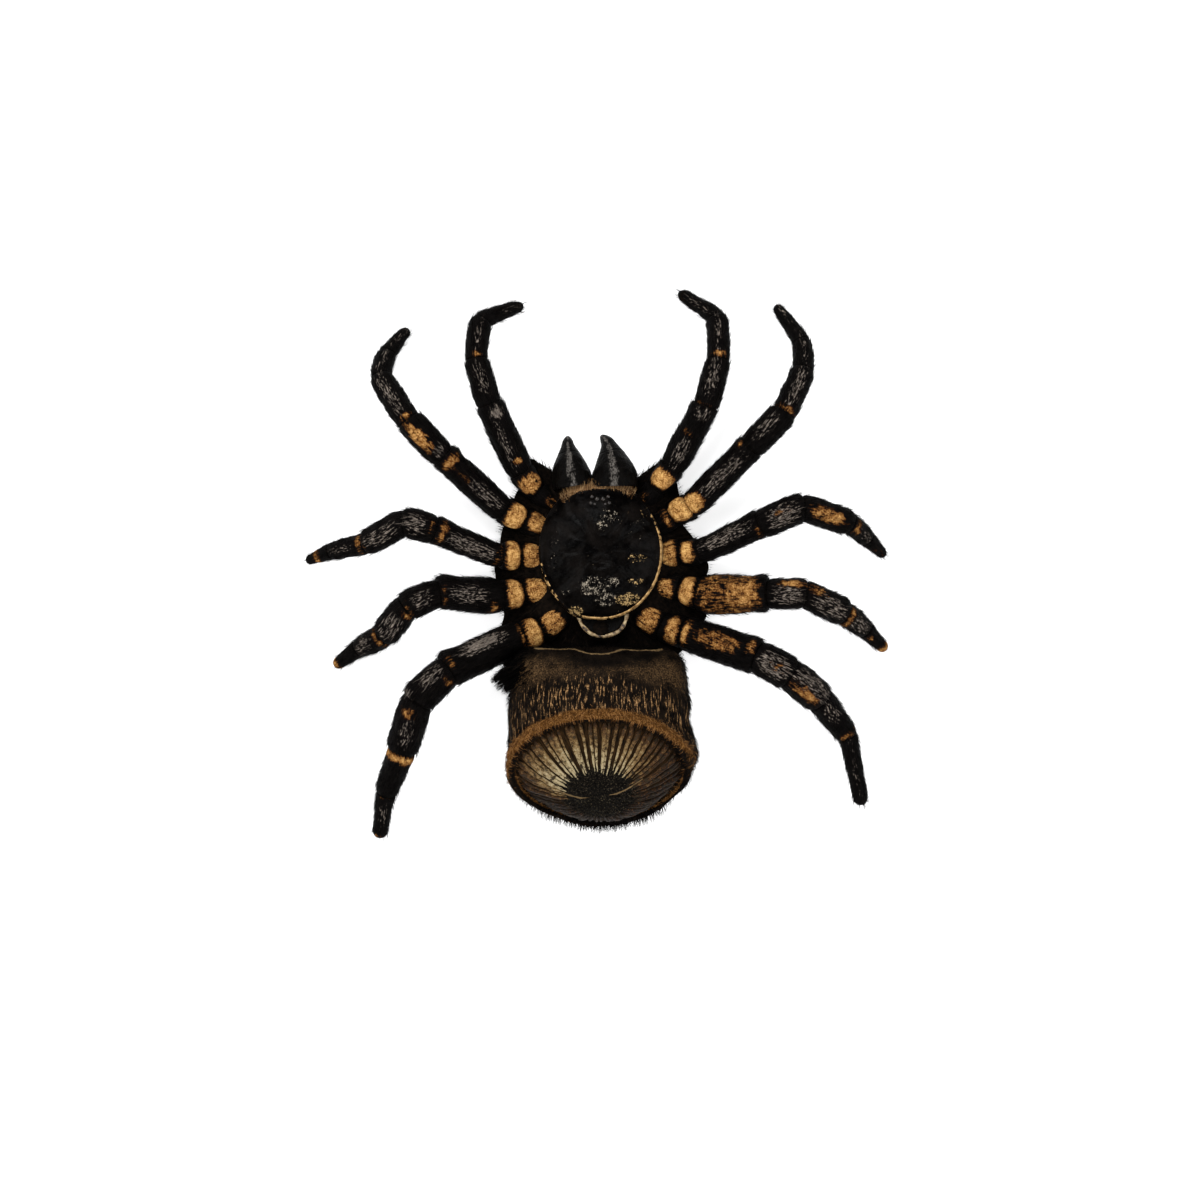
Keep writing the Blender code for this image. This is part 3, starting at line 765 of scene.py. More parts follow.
def tube_rings(points, radii, sides):
    """Round rings along a line that never points straight up."""
    tangents = np.gradient(points, axis=0)
    tangents /= np.linalg.norm(tangents, axis=1)[:, None]
    right = np.cross(tangents, (0.0, 0.0, 1.0))
    right /= np.linalg.norm(right, axis=1)[:, None]
    top = np.cross(right, tangents)
    turn = 2 * np.pi * np.arange(sides) / sides
    outward = np.sin(turn)[None, :, None] * right[:, None] + np.cos(turn)[None, :, None] * top[:, None]
    return points[:, None] + outward * np.asarray(radii)[:, None, None]


# %% Inner skins
def make_joint_skin_finish():
    material, tree, shader = new_finish("soft_joint_skin", 0.75, specular=0.01)
    folds = pattern(tree, object_place(tree), 1.6, 3.0)
    paint(tree, shader, colors(tree, folds, (0.35, (0.0015, 0.0012, 0.001)), (0.8, (0.007, 0.0045, 0.003))))
    bump(tree, shader, folds, 0.12 * MM)
    return material


joint_skin = make_joint_skin_finish()
for limb in LIMBS:
    line = limb_lines[limb]
    middles, _, _, _, radii = line.at(np.arange(0.4 * MM, line.joint_at[-1] - 0.8 * MM, 0.7 * MM))
    mesh = mesh_from_rings(f"{limb}_inner_skin", tube_rings(middles, radii * 0.86, 20), {})
    add_piece(f"{limb}_inner_skin", mesh, joint_skin, "joint_skin")
print("inner skins", len(LIMBS))

# %% [markdown]
# ## A coat of hair from Geometry Nodes
#
# Thousands of short bristles follow the skin, so a node tree grows them: points are scattered
# with a density that the skin's "fur" attribute thins out, and on each point stands a bent,
# tapered strand. It leans along the skin's "lay" direction with some disorder. A fixed seed
# gives the same coat each time, and each strand has few faces because there are so many.

# %% Helpers for node trees on meshes
def new_tree(name, inputs):
    """A Geometry Nodes group with a geometry input and output and these (name, type, value)."""
    tree = bpy.data.node_groups.new(name, "GeometryNodeTree")
    tree.interface.new_socket("Geometry", in_out="INPUT", socket_type="NodeSocketGeometry")
    for label, kind, value in inputs:
        socket = tree.interface.new_socket(label, in_out="INPUT", socket_type=f"NodeSocket{kind}")
        if value is not None:
            socket.default_value = value
    tree.interface.new_socket("Geometry", in_out="OUTPUT", socket_type="NodeSocketGeometry")
    return tree, add(tree, "NodeGroupInput").outputs, add(tree, "NodeGroupOutput")


def finish_tree(tree, geometry, material, result):
    """Ends a tree as real geometry with its material."""
    real = add(tree, "GeometryNodeRealizeInstances", {0: geometry})
    finished = add(tree, "GeometryNodeSetMaterial", {"Geometry": real.outputs[0], "Material": material})
    tree.links.new(finished.outputs[0], result.inputs["Geometry"])


def named(tree, name, kind="FLOAT"):
    return add(tree, "GeometryNodeInputNamedAttribute", {"Name": name}, data_type=kind).outputs["Attribute"]


def random_between(tree, low, high, seed, shift, kind="FLOAT"):
    made = add(tree, "FunctionNodeRandomValue", data_type=kind)
    first = 0 if kind == "FLOAT_VECTOR" else 2
    made.inputs[first].default_value = low
    made.inputs[first + 1].default_value = high
    tree.links.new(plus(tree, seed, shift), made.inputs["Seed"])
    return made.outputs[0 if kind == "FLOAT_VECTOR" else 1]


def vector_node(tree, operation, first, second=None, scale=None):
    made = add(tree, "ShaderNodeVectorMath", {0: first}, operation=operation)
    for place, value in ((1, second), ("Scale", scale)):
        if isinstance(value, bpy.types.NodeSocket):
            tree.links.new(value, made.inputs[place])
        elif value is not None:
            made.inputs[place].default_value = value
    return made.outputs[0]


# %% Hair tree
def make_strand(tree, width, length):
    """One bent, tapered strand of length 1, with a three-sided section."""
    bend = add(tree, "GeometryNodeCurveQuadraticBezier", {
        "Resolution": 2, "Start": (0, 0, 0), "Middle": (0, 0, 0.6), "End": (0.28, 0, 0.95),
    })
    along = add(tree, "GeometryNodeSplineParameter").outputs["Factor"]
    girth = times(tree, less(tree, 1.0, times(tree, along, 0.85)), math_node(tree, "DIVIDE", width, length))
    ring = add(tree, "GeometryNodeCurvePrimitiveCircle", {"Resolution": 3, "Radius": 1.0})
    return add(tree, "GeometryNodeCurveToMesh", {
        "Curve": bend.outputs[0], "Profile Curve": ring.outputs[0], "Scale": girth,
    }).outputs[0]


def make_hair_tree():
    tree, given, result = new_tree("hair_coat", (
        ("Density", "Float", 1.0), ("Length", "Float", 1.0), ("Width", "Float", 0.1), ("Lift", "Float", 0.4),
        ("Disorder", "Float", 0.2), ("Seed", "Int", 1), ("Material", "Material", None),
    ))
    seed = given["Seed"]
    scatter = add(tree, "GeometryNodeDistributePointsOnFaces", {
        "Mesh": given["Geometry"], "Density": times(tree, given["Density"], named(tree, "fur")), "Seed": seed,
    })
    marked = add(tree, "GeometryNodeStoreNamedAttribute", {
        "Geometry": scatter.outputs["Points"], "Name": "shade", "Value": random_between(tree, 0.0, 1.0, seed, 1.0),
    }, data_type="FLOAT", domain="POINT")
    stand = vector_node(tree, "SCALE", scatter.outputs["Normal"], scale=given["Lift"])
    any_way = random_between(tree, (-1, -1, -1), (1, 1, 1), seed, 2.0, "FLOAT_VECTOR")
    jitter = vector_node(tree, "SCALE", any_way, scale=given["Disorder"])
    lay = named(tree, "lay", "FLOAT_VECTOR")
    lean = vector_node(tree, "ADD", vector_node(tree, "ADD", stand, lay), jitter)
    along = add(tree, "FunctionNodeAlignRotationToVector", {"Vector": lean}, axis="Z")
    turned = add(tree, "FunctionNodeAlignRotationToVector", {
        "Rotation": along.outputs[0], "Vector": lay,
    }, axis="X", pivot_axis="Z")
    size = times(tree, random_between(tree, 0.55, 1.25, seed, 3.0), given["Length"])
    grown = add(tree, "GeometryNodeInstanceOnPoints", {
        "Points": marked.outputs[0], "Instance": make_strand(tree, given["Width"], given["Length"]),
        "Rotation": turned.outputs[0], "Scale": times(tree, size, named(tree, "fur_length")),
    })
    finish_tree(tree, grown.outputs[0], given["Material"], result)
    return tree


hair_tree = make_hair_tree()


# %% Growing a plain mesh
CLEARANCE = 0.03 * MM


def grown_mesh(name, base, tree, settings):
    """The plain mesh that a tree makes from a base mesh, with inputs set by their sockets."""
    holder = bpy.data.objects.new(name, base)
    bpy.context.scene.collection.objects.link(holder)
    modifier = holder.modifiers.new("grow", "NODES")
    modifier.node_group = tree
    for socket in tree.interface.items_tree:
        if socket.in_out == "INPUT" and socket.name in settings:
            modifier[socket.identifier] = settings[socket.name]
    depsgraph = bpy.context.evaluated_depsgraph_get()
    mesh = bpy.data.meshes.new_from_object(holder.evaluated_get(depsgraph), depsgraph=depsgraph)
    bpy.data.objects.remove(holder)
    mesh.name = name
    corners = np.empty(len(mesh.vertices) * 3)
    mesh.vertices.foreach_get("co", corners)
    corners[2::3] = np.maximum(corners[2::3], CLEARANCE)
    mesh.vertices.foreach_set("co", corners)
    return mesh


print("hair inputs", [item.name for item in hair_tree.interface.items_tree if item.in_out == "INPUT"])


# %% Hair finish
def make_hair_finish(name, dark, pale, pale_share, rubbed_and_sheen=(0.15, 0.125, 0.105)):
    """Hair in two tones. On skin that is rubbed grey, some of the strands are worn pale."""
    material, tree, shader = new_finish(name, 0.6, specular=0.012)
    shade = attribute(tree, "shade")
    color = colors(tree, shade, (0.0, dark), (1.0 - pale_share, dark), (min(1.0, 1.06 - pale_share), pale))
    worn = less(tree, times(tree, attribute(tree, "grey"), 0.55), shade)
    paint(tree, shader, mix(tree, band(tree, worn, 0.0, 0.12), color, rubbed_and_sheen))
    return material


dark_hair = make_hair_finish("dark_hair", (0.0010, 0.0008, 0.0007), (0.012, 0.009, 0.007), 0.08)
print("made", dark_hair.name)


# %% Helpers for meshes and their values
def joined_mesh(name, meshes):
    work = bmesh.new()
    for mesh in meshes:
        work.from_mesh(mesh)
    joined = bpy.data.meshes.new(name)
    work.to_mesh(joined)
    work.free()
    return joined


def read_values(mesh, name, kind="value"):
    width = 3 if kind == "vector" else 1
    values = np.empty(len(mesh.vertices) * width)
    mesh.attributes[name].data.foreach_get(kind, values)
    return values.reshape(-1, width) if width == 3 else values


def set_values(mesh, name, values):
    layer = mesh.attributes.get(name) or mesh.attributes.new(name, "FLOAT", "POINT")
    layer.data.foreach_set("value", np.asarray(values, float))


# %% Hair on the limbs
LIMB_HAIR = {
    "Density": 3.6 / MM ** 2, "Length": 1.25 * MM, "Width": 0.038 * MM, "Lift": 0.42, "Disorder": 0.26,
    "Material": dark_hair,
}
hair_count = 0
for number, limb in enumerate(LIMBS):
    base = joined_mesh(f"{limb}_hair_base", [piece.data for piece in limb_pieces[limb]])
    bald = np.clip(1.5 * read_values(base, "ochre"), 0, 1)
    set_values(base, "fur", 1 - 0.93 * bald)
    set_values(base, "fur_length", np.ones(len(bald)))
    mesh = grown_mesh(f"{limb}_hair", base, hair_tree, {**LIMB_HAIR, "Seed": 20 + number})
    add_piece(f"{limb}_hair", mesh, None, "skin")
    hair_count += len(mesh.polygons)
print("hair faces on the limbs", hair_count)

# %% [markdown]
# ## Claws
#
# Each foot ends in two small hooked claws between the last bristles.

# %% Claws
CLAW_LENGTH = 0.9 * MM


def make_claws(limb):
    line = limb_lines[limb]
    root_at = np.array([line.joint_at[-1] - CLAW_LENGTH])
    tip, tangent, side, top, radius = (value[0] for value in line.at(root_at))
    meshes = []
    for hand in (-1, 1):
        share = np.linspace(0, 1, 9)[:, None]
        spread = tip + side * hand * 0.35 * radius
        points = spread + tangent * CLAW_LENGTH * (0.2 + share) - top * 0.3 * CLAW_LENGTH * (2 * share - 1) ** 2
        points[:, 2] = np.maximum(points[:, 2], 0.25 * MM)
        radii = 0.16 * MM * (1.05 - share[:, 0])
        meshes.append(mesh_from_rings("claw", tube_rings(points, radii, 10), {}))
    return joined_mesh(f"{limb}_claws", meshes)


def make_small_horn_finish(name, roughness, specular, pale):
    """Dark horn that clouds a little towards pale, for claws and eyes."""
    material, tree, shader = new_finish(name, roughness, specular=specular)
    cloud = pattern(tree, object_place(tree), 2.5, 3.0)
    paint(tree, shader, colors(tree, cloud, (0.35, (0.002, 0.0015, 0.001)), (0.75, pale)))
    bump(tree, shader, cloud, 0.03 * MM)
    return material


horn_black = make_small_horn_finish("claw_horn", 0.35, 0.15, (0.012, 0.008, 0.005))
for limb in LIMBS:
    mesh = make_claws(limb)
    mesh.shade_smooth()
    add_piece(f"{limb}_claws", mesh, horn_black, "horn")
print("claw pairs", len(LIMBS))

# %% [markdown]
# ## The shield over the front body
#
# The carapace is one glossy black plate. Its middle pit and faint grooves run out to the legs,
# rubbed crusts lie towards the back, patches of painted highlight towards the front, a tan hairy
# band edges the front, and a thin gold rim shows on the right and round the rear. It is a dome on
# a polar grid, so the rim, the band and the grooves are easy to place by radius and angle.

# %% Outline and height of the shield
shield_low, shield_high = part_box("carapace")
SHIELD_MIDDLE = (shield_low + shield_high) / 2
SHIELD_HALF = (shield_high - shield_low) / 2
SHIELD_ROWS, SHIELD_SIDES = 88, 300


def turn_bell(angle, middle, width):
    """A bell over an angle in degrees, closed over the full turn."""
    return np.exp(-(((angle - middle + 180) % 360 - 180) / width) ** 2)


def shield_outline(angle):
    """The shield's reach as a share of its ellipse, for angles in degrees."""
    outline = 1 + 0.05 * turn_bell(angle, 115, 13) + 0.045 * turn_bell(angle, 74, 15)
    outline -= 0.035 * turn_bell(angle, 97, 7)
    return outline + 0.03 * turn_bell(angle, -115, 12) - 0.02 * turn_bell(angle, 35, 16) - 0.015


# %% Patches on the shield
# The rows with y below zero are rubbed crusts at the back. The rows with y above zero are painted highlight: the grey
# sheen on the front of the glossy dome and faint glints near its left edge.
CRUSTS_AND_SHEEN = (  # middle and half size in millimetres, and strength
    (-1.6, -5.7, 3.0, 1.8, 1.0), (1.6, -4.9, 1.8, 1.0, 1.0), (0.6, -7.9, 2.2, 1.4, 1.0), (0.0, 5.2, 1.3, 1.3, 0.8),
    (1.2, 6.8, 1.9, 1.5, 0.85), (-6.2, -6.9, 1.4, 0.7, 0.5), (-8.6, 1.4, 0.9, 4.5, 0.35), (6.5, 4.5, 1.6, 2.6, 0.3),
    (4.6, -2.5, 0.6, 0.5, 0.5),
)
GOLD_SPOTS = (
    (6.2, -4.7, 1.7, 0.55, 0.9), (6.4, -0.6, 2.0, 0.9, 0.75), (4.6, -8.0, 2.4, 1.2, 1.0),
    (-4.8, -10.2, 1.7, 1.1, 1.0), (7.6, 7.6, 1.0, 1.0, 0.6),
)


def patches(x, y, rows):
    """The strongest of some oval patches at each place. Each fades out over its edge."""
    total = np.zeros_like(x)
    for middle_x, middle_y, half_x, half_y, strength in rows:
        away = np.hypot((x / MM - middle_x) / half_x, (y / MM - middle_y) / half_y)
        total = np.maximum(total, strength * np.clip((1.25 - away) / 0.5, 0, 1))
    return total


def dent(grid, middle_x, middle_y, half_x, half_y):
    """A soft oval hill of height 1 over a place given in millimetres."""
    across = (grid[..., 0] - middle_x * MM) / (half_x * MM)
    forward = (grid[..., 1] - middle_y * MM) / (half_y * MM)
    return np.exp(-across ** 2 - forward ** 2)


print("patches", len(CRUSTS_AND_SHEEN) + len(GOLD_SPOTS))


# %% Height and masks of the shield
HAIR_FROM, HAIR_MIDDLE, HAIR_HALF = 0.855, 94, 37
RIM_AT_SHARE = 0.970


def shield_top(share, angle):
    """Points and masks of the upper face, where share is 0 in the middle and 1 at the edge."""
    reach = share * shield_outline(angle)
    x = SHIELD_MIDDLE.x + SHIELD_HALF.x * reach * np.cos(np.radians(angle))
    y = SHIELD_MIDDLE.y + SHIELD_HALF.y * reach * np.sin(np.radians(angle))
    low, rise = shield_low.z + 0.9 * MM, shield_high.z - shield_low.z - 0.9 * MM
    z = low + 0.80 * rise * (1 - share ** 2.6) ** 0.75
    flat = np.stack([x, y, np.zeros_like(x)], axis=-1)
    z += 0.20 * rise * dent(flat, -0.2, 7.0, 5.2, 4.8)
    z -= 0.85 * MM * dent(flat, -0.2, -1.2, 1.5, 0.9)
    grooves = sum(turn_bell(angle, middle, 5.0) for middle in (-142, -178, 152, 128, 52, 26, -4, -38))
    z -= 0.34 * MM * grooves * bell(share, 0.62, 0.26)
    crust, gold = patches(x, y, CRUSTS_AND_SHEEN), patches(x, y, GOLD_SPOTS)
    hair_from = HAIR_FROM + 0.05 * turn_bell(angle, 97, 6)
    band_of_hair = turn_bell(angle, HAIR_MIDDLE, 30) ** 0.5 * np.clip((share - hair_from) / 0.04, 0, 1)
    band_of_hair *= np.abs((angle - HAIR_MIDDLE + 180) % 360 - 180) < HAIR_HALF
    rim_reach = np.clip(0.06 + np.maximum.reduce([
        turn_bell(angle, -10, 38), turn_bell(angle, -55, 35), turn_bell(angle, -95, 16),
        0.52 * turn_bell(angle, -150, 24),
    ]), 0, 1)
    rim = rim_reach * bell(share, RIM_AT_SHARE, 0.015)
    lumps = 0.30 * noise_at(flat, 0.20, 3.0) + 0.10 * noise_at(flat, 0.8, 5.0)
    grains = crust * (0.20 * noise_at(flat, 1.9, 9.0) + 0.16 * noise_at(flat, 3.8, 4.0))
    fade = np.clip((1 - share) / 0.08, 0, 1)
    z += MM * (fade * (lumps + grains + 0.16 * crust + 0.10 * gold) + 0.42 * rim + 0.16 * band_of_hair)
    z = np.minimum(z, shield_high.z + 0.5 * MM)
    rim_mask = rim_reach * (bell(share, RIM_AT_SHARE, 0.019) > 0.4)
    return np.stack([x, y, z], axis=-1), {"crust": crust, "gold": gold, "rim": rim_mask, "band": band_of_hair}


# %% Shield mesh
angles = 360.0 * np.arange(SHIELD_SIDES)[None, :] / SHIELD_SIDES - 180.0
shares = np.concatenate([np.linspace(0.02, 0.86, SHIELD_ROWS - 34), np.linspace(0.868, 1.0, 34)])[:, None]
top_rings, shield_masks = shield_top(*np.broadcast_arrays(shares, angles))
edge = top_rings[-1:]
middle_line = np.array([SHIELD_MIDDLE.x, SHIELD_MIDDLE.y, 0.0])
under_rings = []
for inset, height in ((0.995, 0.55), (0.985, 0.25), (0.95, 0.05), (0.7, 0.0), (0.35, 0.0), (0.05, 0.0)):
    ring = middle_line + (edge[0] - middle_line) * inset
    ring[:, 2] = shield_low.z + height * MM
    under_rings.append(ring)
shield_rings = np.concatenate([top_rings, np.array(under_rings)])
bare = np.zeros((len(under_rings), SHIELD_SIDES))
shield_masks = {key: np.concatenate([value, bare])[::-1] for key, value in shield_masks.items()}
shield_mesh = mesh_from_rings("carapace_shield", shield_rings[::-1], shield_masks)
print("shield corners", len(shield_mesh.vertices))


# %% Shield finish
def make_shield_finish():
    material, tree, shader = new_finish("glossy_shield", 0.3, specular=0.02)
    blotch, grain, fine = (pattern(tree, object_place(tree), scale, 4.0) for scale in (0.35, 1.4, 4.2))
    rough_grain = weighed(tree, (grain, 0.6), (fine, 0.55))
    torn = less(tree, rough_grain, 0.58)
    # Painted highlight: this mask paints the grey sheen on the front of the dome as well as the rubbed crusts at the
    # back.
    crust = band(tree, weighed(tree, (attribute(tree, "crust"), 0.45), (torn, 2.6)), 0.46, 0.72)
    gold = band(tree, weighed(tree, (attribute(tree, "gold"), 0.5), (torn, 2.2)), 0.40, 0.66)
    rim = band(tree, plus(tree, attribute(tree, "rim"), times(tree, less(tree, grain, 0.5), 2.2)), 0.50, 0.72)
    hairy = band(tree, plus(tree, attribute(tree, "band"), less(tree, rough_grain, 0.60)), 0.5, 0.75)
    color = colors(tree, blotch, (0.40, (0.0006, 0.0005, 0.0005)), (0.75, (0.0045, 0.0035, 0.003)))
    for share, source, dark, pale in (
        (crust, fine, (0.35, (0.06, 0.05, 0.04)), (0.7, (0.30, 0.26, 0.20))),
        (gold, fine, (0.35, (0.16, 0.09, 0.03)), (0.7, (0.42, 0.29, 0.13))),
        (hairy, fine, (0.3, (0.07, 0.035, 0.015)), (0.72, (0.30, 0.17, 0.075))),
        (rim, grain, (0.35, (0.12, 0.06, 0.02)), (0.7, (0.46, 0.29, 0.12))),
    ):
        color = mix(tree, share, color, colors(tree, source, dark, pale))
    paint(tree, shader, color)
    dull = crust
    for other in (gold, rim, hairy):
        dull = math_node(tree, "MAXIMUM", dull, other)
    roughness = plus(tree, weighed(tree, (dull, 0.35), (blotch, 0.3)), 0.12)
    tree.links.new(roughness, shader.inputs["Roughness"])
    bump(tree, shader, plus(tree, grain, times(tree, fine, 0.5)), 0.10 * MM)
    return material


add_piece("carapace_shield", shield_mesh, make_shield_finish(), "shield", "carapace")
print("shield in place")


# %% [markdown]
# ## Eyes, front band and horns
#
# Eight small glossy eyes sit on a low mound at the front. The hairy band in front of them is
# grown with the hair tree from the shield's own band mask.

# %% Eyes
def shield_height(x, y):
    """Height of the finished shield under a place, from its nearest corner."""
    flat = top_rings.reshape(-1, 3)
    return flat[np.argmin((flat[:, 0] - x) ** 2 + (flat[:, 1] - y) ** 2), 2]


def ball_rings(middle, radius, flat=0.8, rows=10, sides=20):
    """Rings of a ball from its foot to its top."""
    rise = np.linspace(-0.94, 0.97, rows)
    turn = 2 * np.pi * np.arange(sides) / sides
    reach = np.sqrt(1 - rise ** 2)[:, None]
    return np.stack(np.broadcast_arrays(
        middle[0] + radius * reach * np.cos(turn), middle[1] + radius * reach * np.sin(turn),
        middle[2] + radius * flat * rise[:, None]), axis=-1)


EYES = (  # across from the middle line, forward of the mound's middle, radius
    (-0.55, 0.35, 0.42), (0.55, 0.35, 0.42), (-1.45, 0.75, 0.36), (1.45, 0.75, 0.36),
    (-1.65, -0.35, 0.32), (1.65, -0.35, 0.32), (-0.95, -0.55, 0.26), (0.95, -0.55, 0.26),
)
MOUND = (-0.35 * MM, 9.7 * MM)
eye_meshes = []
for across, forward, radius in EYES:
    x, y = MOUND[0] + across * MM, MOUND[1] + forward * MM
    middle = (x, y, shield_height(x, y) + 0.06 * MM)
    eye_meshes.append(mesh_from_rings("eye", ball_rings(middle, radius * MM), {}))
eye_mesh = joined_mesh("eyes", eye_meshes)
eye_mesh.shade_smooth()
eye_finish = make_small_horn_finish("eye_gloss", 0.10, 0.3, (0.020, 0.014, 0.010))
add_piece("eyes", eye_mesh, eye_finish, "shield")
print("eyes", len(EYES))

# %% Front band hair
band_base = shield_mesh.copy()
set_values(band_base, "fur", np.clip(read_values(band_base, "band"), 0, 1))
set_values(band_base, "fur_length", np.ones(len(band_base.vertices)))
lay = np.tile((0.0, 0.5, 0.25), (len(band_base.vertices), 1))
band_base.attributes.new("lay", "FLOAT_VECTOR", "POINT").data.foreach_set("vector", lay.ravel())
brown_hair = make_hair_finish("brown_hair", (0.075, 0.036, 0.014), (0.34, 0.21, 0.10), 0.45)
band_hair = grown_mesh("front_band_hair", band_base, hair_tree, {
    "Density": 30 / MM ** 2, "Length": 0.95 * MM, "Width": 0.04 * MM, "Lift": 0.55, "Disorder": 0.6, "Seed": 41,
    "Material": brown_hair,
})
add_piece("front_band_hair", band_hair, None, "shield")
print("band hair faces", len(band_hair.polygons))

# %% [markdown]
# The jaws are two black horns. Jaw and fang are separate solids in the frame, but the surface
# runs from one into the other in a single curve, so both are cut from one line.

# %% Jaws and fangs
HORN_SIDES = 48


def make_horn_finish():
    material, tree, shader = new_finish("black_horn", 0.34, specular=0.02)
    place = object_place(tree)
    strip = pattern(tree, place, 0.8, 4.0, (1.6, 0.8, 1.6))
    fine = pattern(tree, place, 3.2, 3.0, (1.4, 0.6, 1.4))
    torn = less(tree, weighed(tree, (strip, 0.9), (fine, 0.9)), 0.92)
    # Painted highlight: a pale grey stripe is painted along the top of each horn, with torn edges.
    worn = band(tree, plus(tree, attribute(tree, "worn"), torn), 0.66, 0.98)
    black = colors(tree, strip, (0.3, (0.0006, 0.0005, 0.0005)), (0.8, (0.003, 0.0025, 0.002)))
    rubbed_and_sheen = colors(tree, fine, (0.35, (0.02, 0.018, 0.016)), (0.75, (0.11, 0.10, 0.09)))
    paint(tree, shader, mix(tree, worn, black, rubbed_and_sheen))
    bump(tree, shader, plus(tree, strip, fine), 0.13 * MM)
    return material


def read_tube(node, sides, near=(0.0, 0.0, 0.0)):
    middles, radii = middles_and_girths(rings_of(node, sides, near))
    return np.array(middles), np.array(radii)


black_horn = make_horn_finish()
print("made", black_horn.name)


# %% Horns from one line each
HIDDEN_ROOT, HORN_LEAN, HORN_FULLER = 1.6 * MM, 0.6 * MM, 0.20 * MM


def horn_rings(points, radii, low, high, rows):
    """Rings of one stretch of a horn, and how much painted highlight each place carries along the top."""
    places = np.linspace(low, high, rows)
    line = smooth_rows(points, places)
    line[:, 0] -= HORN_LEAN * np.clip(places / (len(points) - 1), 0, 1)
    girth = np.maximum(1.05 * smooth_rows(radii[:, None], places)[:, 0] + HORN_FULLER, 0.18 * MM)
    rings = tube_rings(line, girth, HORN_SIDES)
    middles = line[:, None]
    turn = 2 * np.pi * np.arange(HORN_SIDES) / HORN_SIDES
    from_top = (turn[None, :] + np.pi) % (2 * np.pi) - np.pi
    # Painted highlight: a stripe along the top of the horn.
    worn = np.clip(0.95 * bell(from_top, 0.0, 0.38), 0, 1) * np.ones((rows, 1))
    lump = 1 + 0.05 * noise_at(rings, 0.5, 2.0) + 0.03 * noise_at(rings, 1.6, 6.0)
    return middles + (rings - middles) * lump[..., None], worn


for side in ("left", "right"):
    jaw, jaw_radii = read_tube(f"chelicera_{side}", 12)
    fang, fang_radii = read_tube(f"fang_{side}", 10)
    hidden = jaw[0] - HIDDEN_ROOT * (jaw[1] - jaw[0]) / np.linalg.norm(jaw[1] - jaw[0])
    points = np.vstack([hidden, jaw[:-1], fang[1:]])
    radii = np.concatenate([jaw_radii[:1], jaw_radii[:-1], fang_radii[1:]])
    split = len(jaw) - 0.5
    for name, low, high, rows, node in (
        (f"chelicera_{side}_horn", 0.0, split - 0.005, 46, f"chelicera_{side}"),
        (f"fang_{side}_horn", split + 0.005, len(points) - 1.0, 34, f"fang_{side}"),
    ):
        rings, worn = horn_rings(points, radii, low, high, rows)
        add_piece(name, mesh_from_rings(name, rings, {"worn": worn}), black_horn, "horn", node)
print("horns", 2)

# %% [markdown]
# ## Underside, hips and waist
#
# The breast plate and most of the dark skin between the hips are hidden from above. They close
# the body when it is turned over. The narrow waist shows as a black dish with a crusted rim.

# %% Breast plate
def puck_rings(middle, half_x, half_y, heights, insets, sides=96):
    """Oval rings between heights, drawn in by insets, each a share of the oval."""
    turn = 2 * np.pi * np.arange(sides) / sides
    rings = [np.stack([middle[0] + half_x * inset * np.cos(turn), middle[1] + half_y * inset * np.sin(turn),
                       np.full(sides, height)], axis=-1) for height, inset in zip(heights, insets)]
    return np.array(rings)


def make_plate_finish():
    material, tree, shader = new_finish("breast_plate", 0.45, specular=0.4)
    blotch, fine = pattern(tree, object_place(tree), 0.4, 4.0), pattern(tree, object_place(tree), 3.0, 3.0)
    color = colors(tree, blotch, (0.3, (0.006, 0.004, 0.003)), (0.75, (0.030, 0.017, 0.009)))
    spot = band(tree, attribute(tree, "spot"), 0.3, 0.7)
    paint(tree, shader, mix(tree, spot, color, (0.09, 0.05, 0.025)))
    bump(tree, shader, plus(tree, blotch, fine), 0.12 * MM)
    return material


breast_plate = make_plate_finish()
plate_low, plate_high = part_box("sternum")
plate_middle, plate_half = (plate_low + plate_high) / 2, (plate_high - plate_low) / 2
insets = (0.05, 0.25, 0.5, 0.7, 0.84, 0.93, 0.98, 1.0, 0.985, 0.9, 0.5, 0.05)
heights = (0.02, 0.0, 0.0, 0.06, 0.22, 0.55, 1.1, 2.0, 4.2, 5.2, 5.6, 5.65)
places = np.linspace(0, len(insets) - 1, 60)
dense_insets = np.interp(places, range(len(insets)), insets)
dense_heights = np.interp(places, range(len(heights)), heights) * MM
plate = puck_rings(plate_middle, plate_half.x, plate_half.y, dense_heights, dense_insets)
spots = np.zeros(plate.shape[:2])
for forward in (-3.2, 0.6, 4.2):
    for hand in (-1, 1):
        across = (plate[..., 0] - plate_middle.x - hand * 3.6 * MM) / (0.75 * MM)
        along = (plate[..., 1] - plate_middle.y - forward * MM) / (1.1 * MM)
        spots += np.exp(-across ** 2 - along ** 2) * (plate[..., 2] < 2 * MM)
plate[..., 2] += 0.12 * MM * spots
plate[..., 2] += 0.05 * MM * np.clip(noise_at(plate, 0.7, 2.0), 0, 1)
plate_mesh = mesh_from_rings("sternum_plate", plate, {"spot": spots})
add_piece("sternum_plate", plate_mesh, breast_plate, "shield", "sternum")


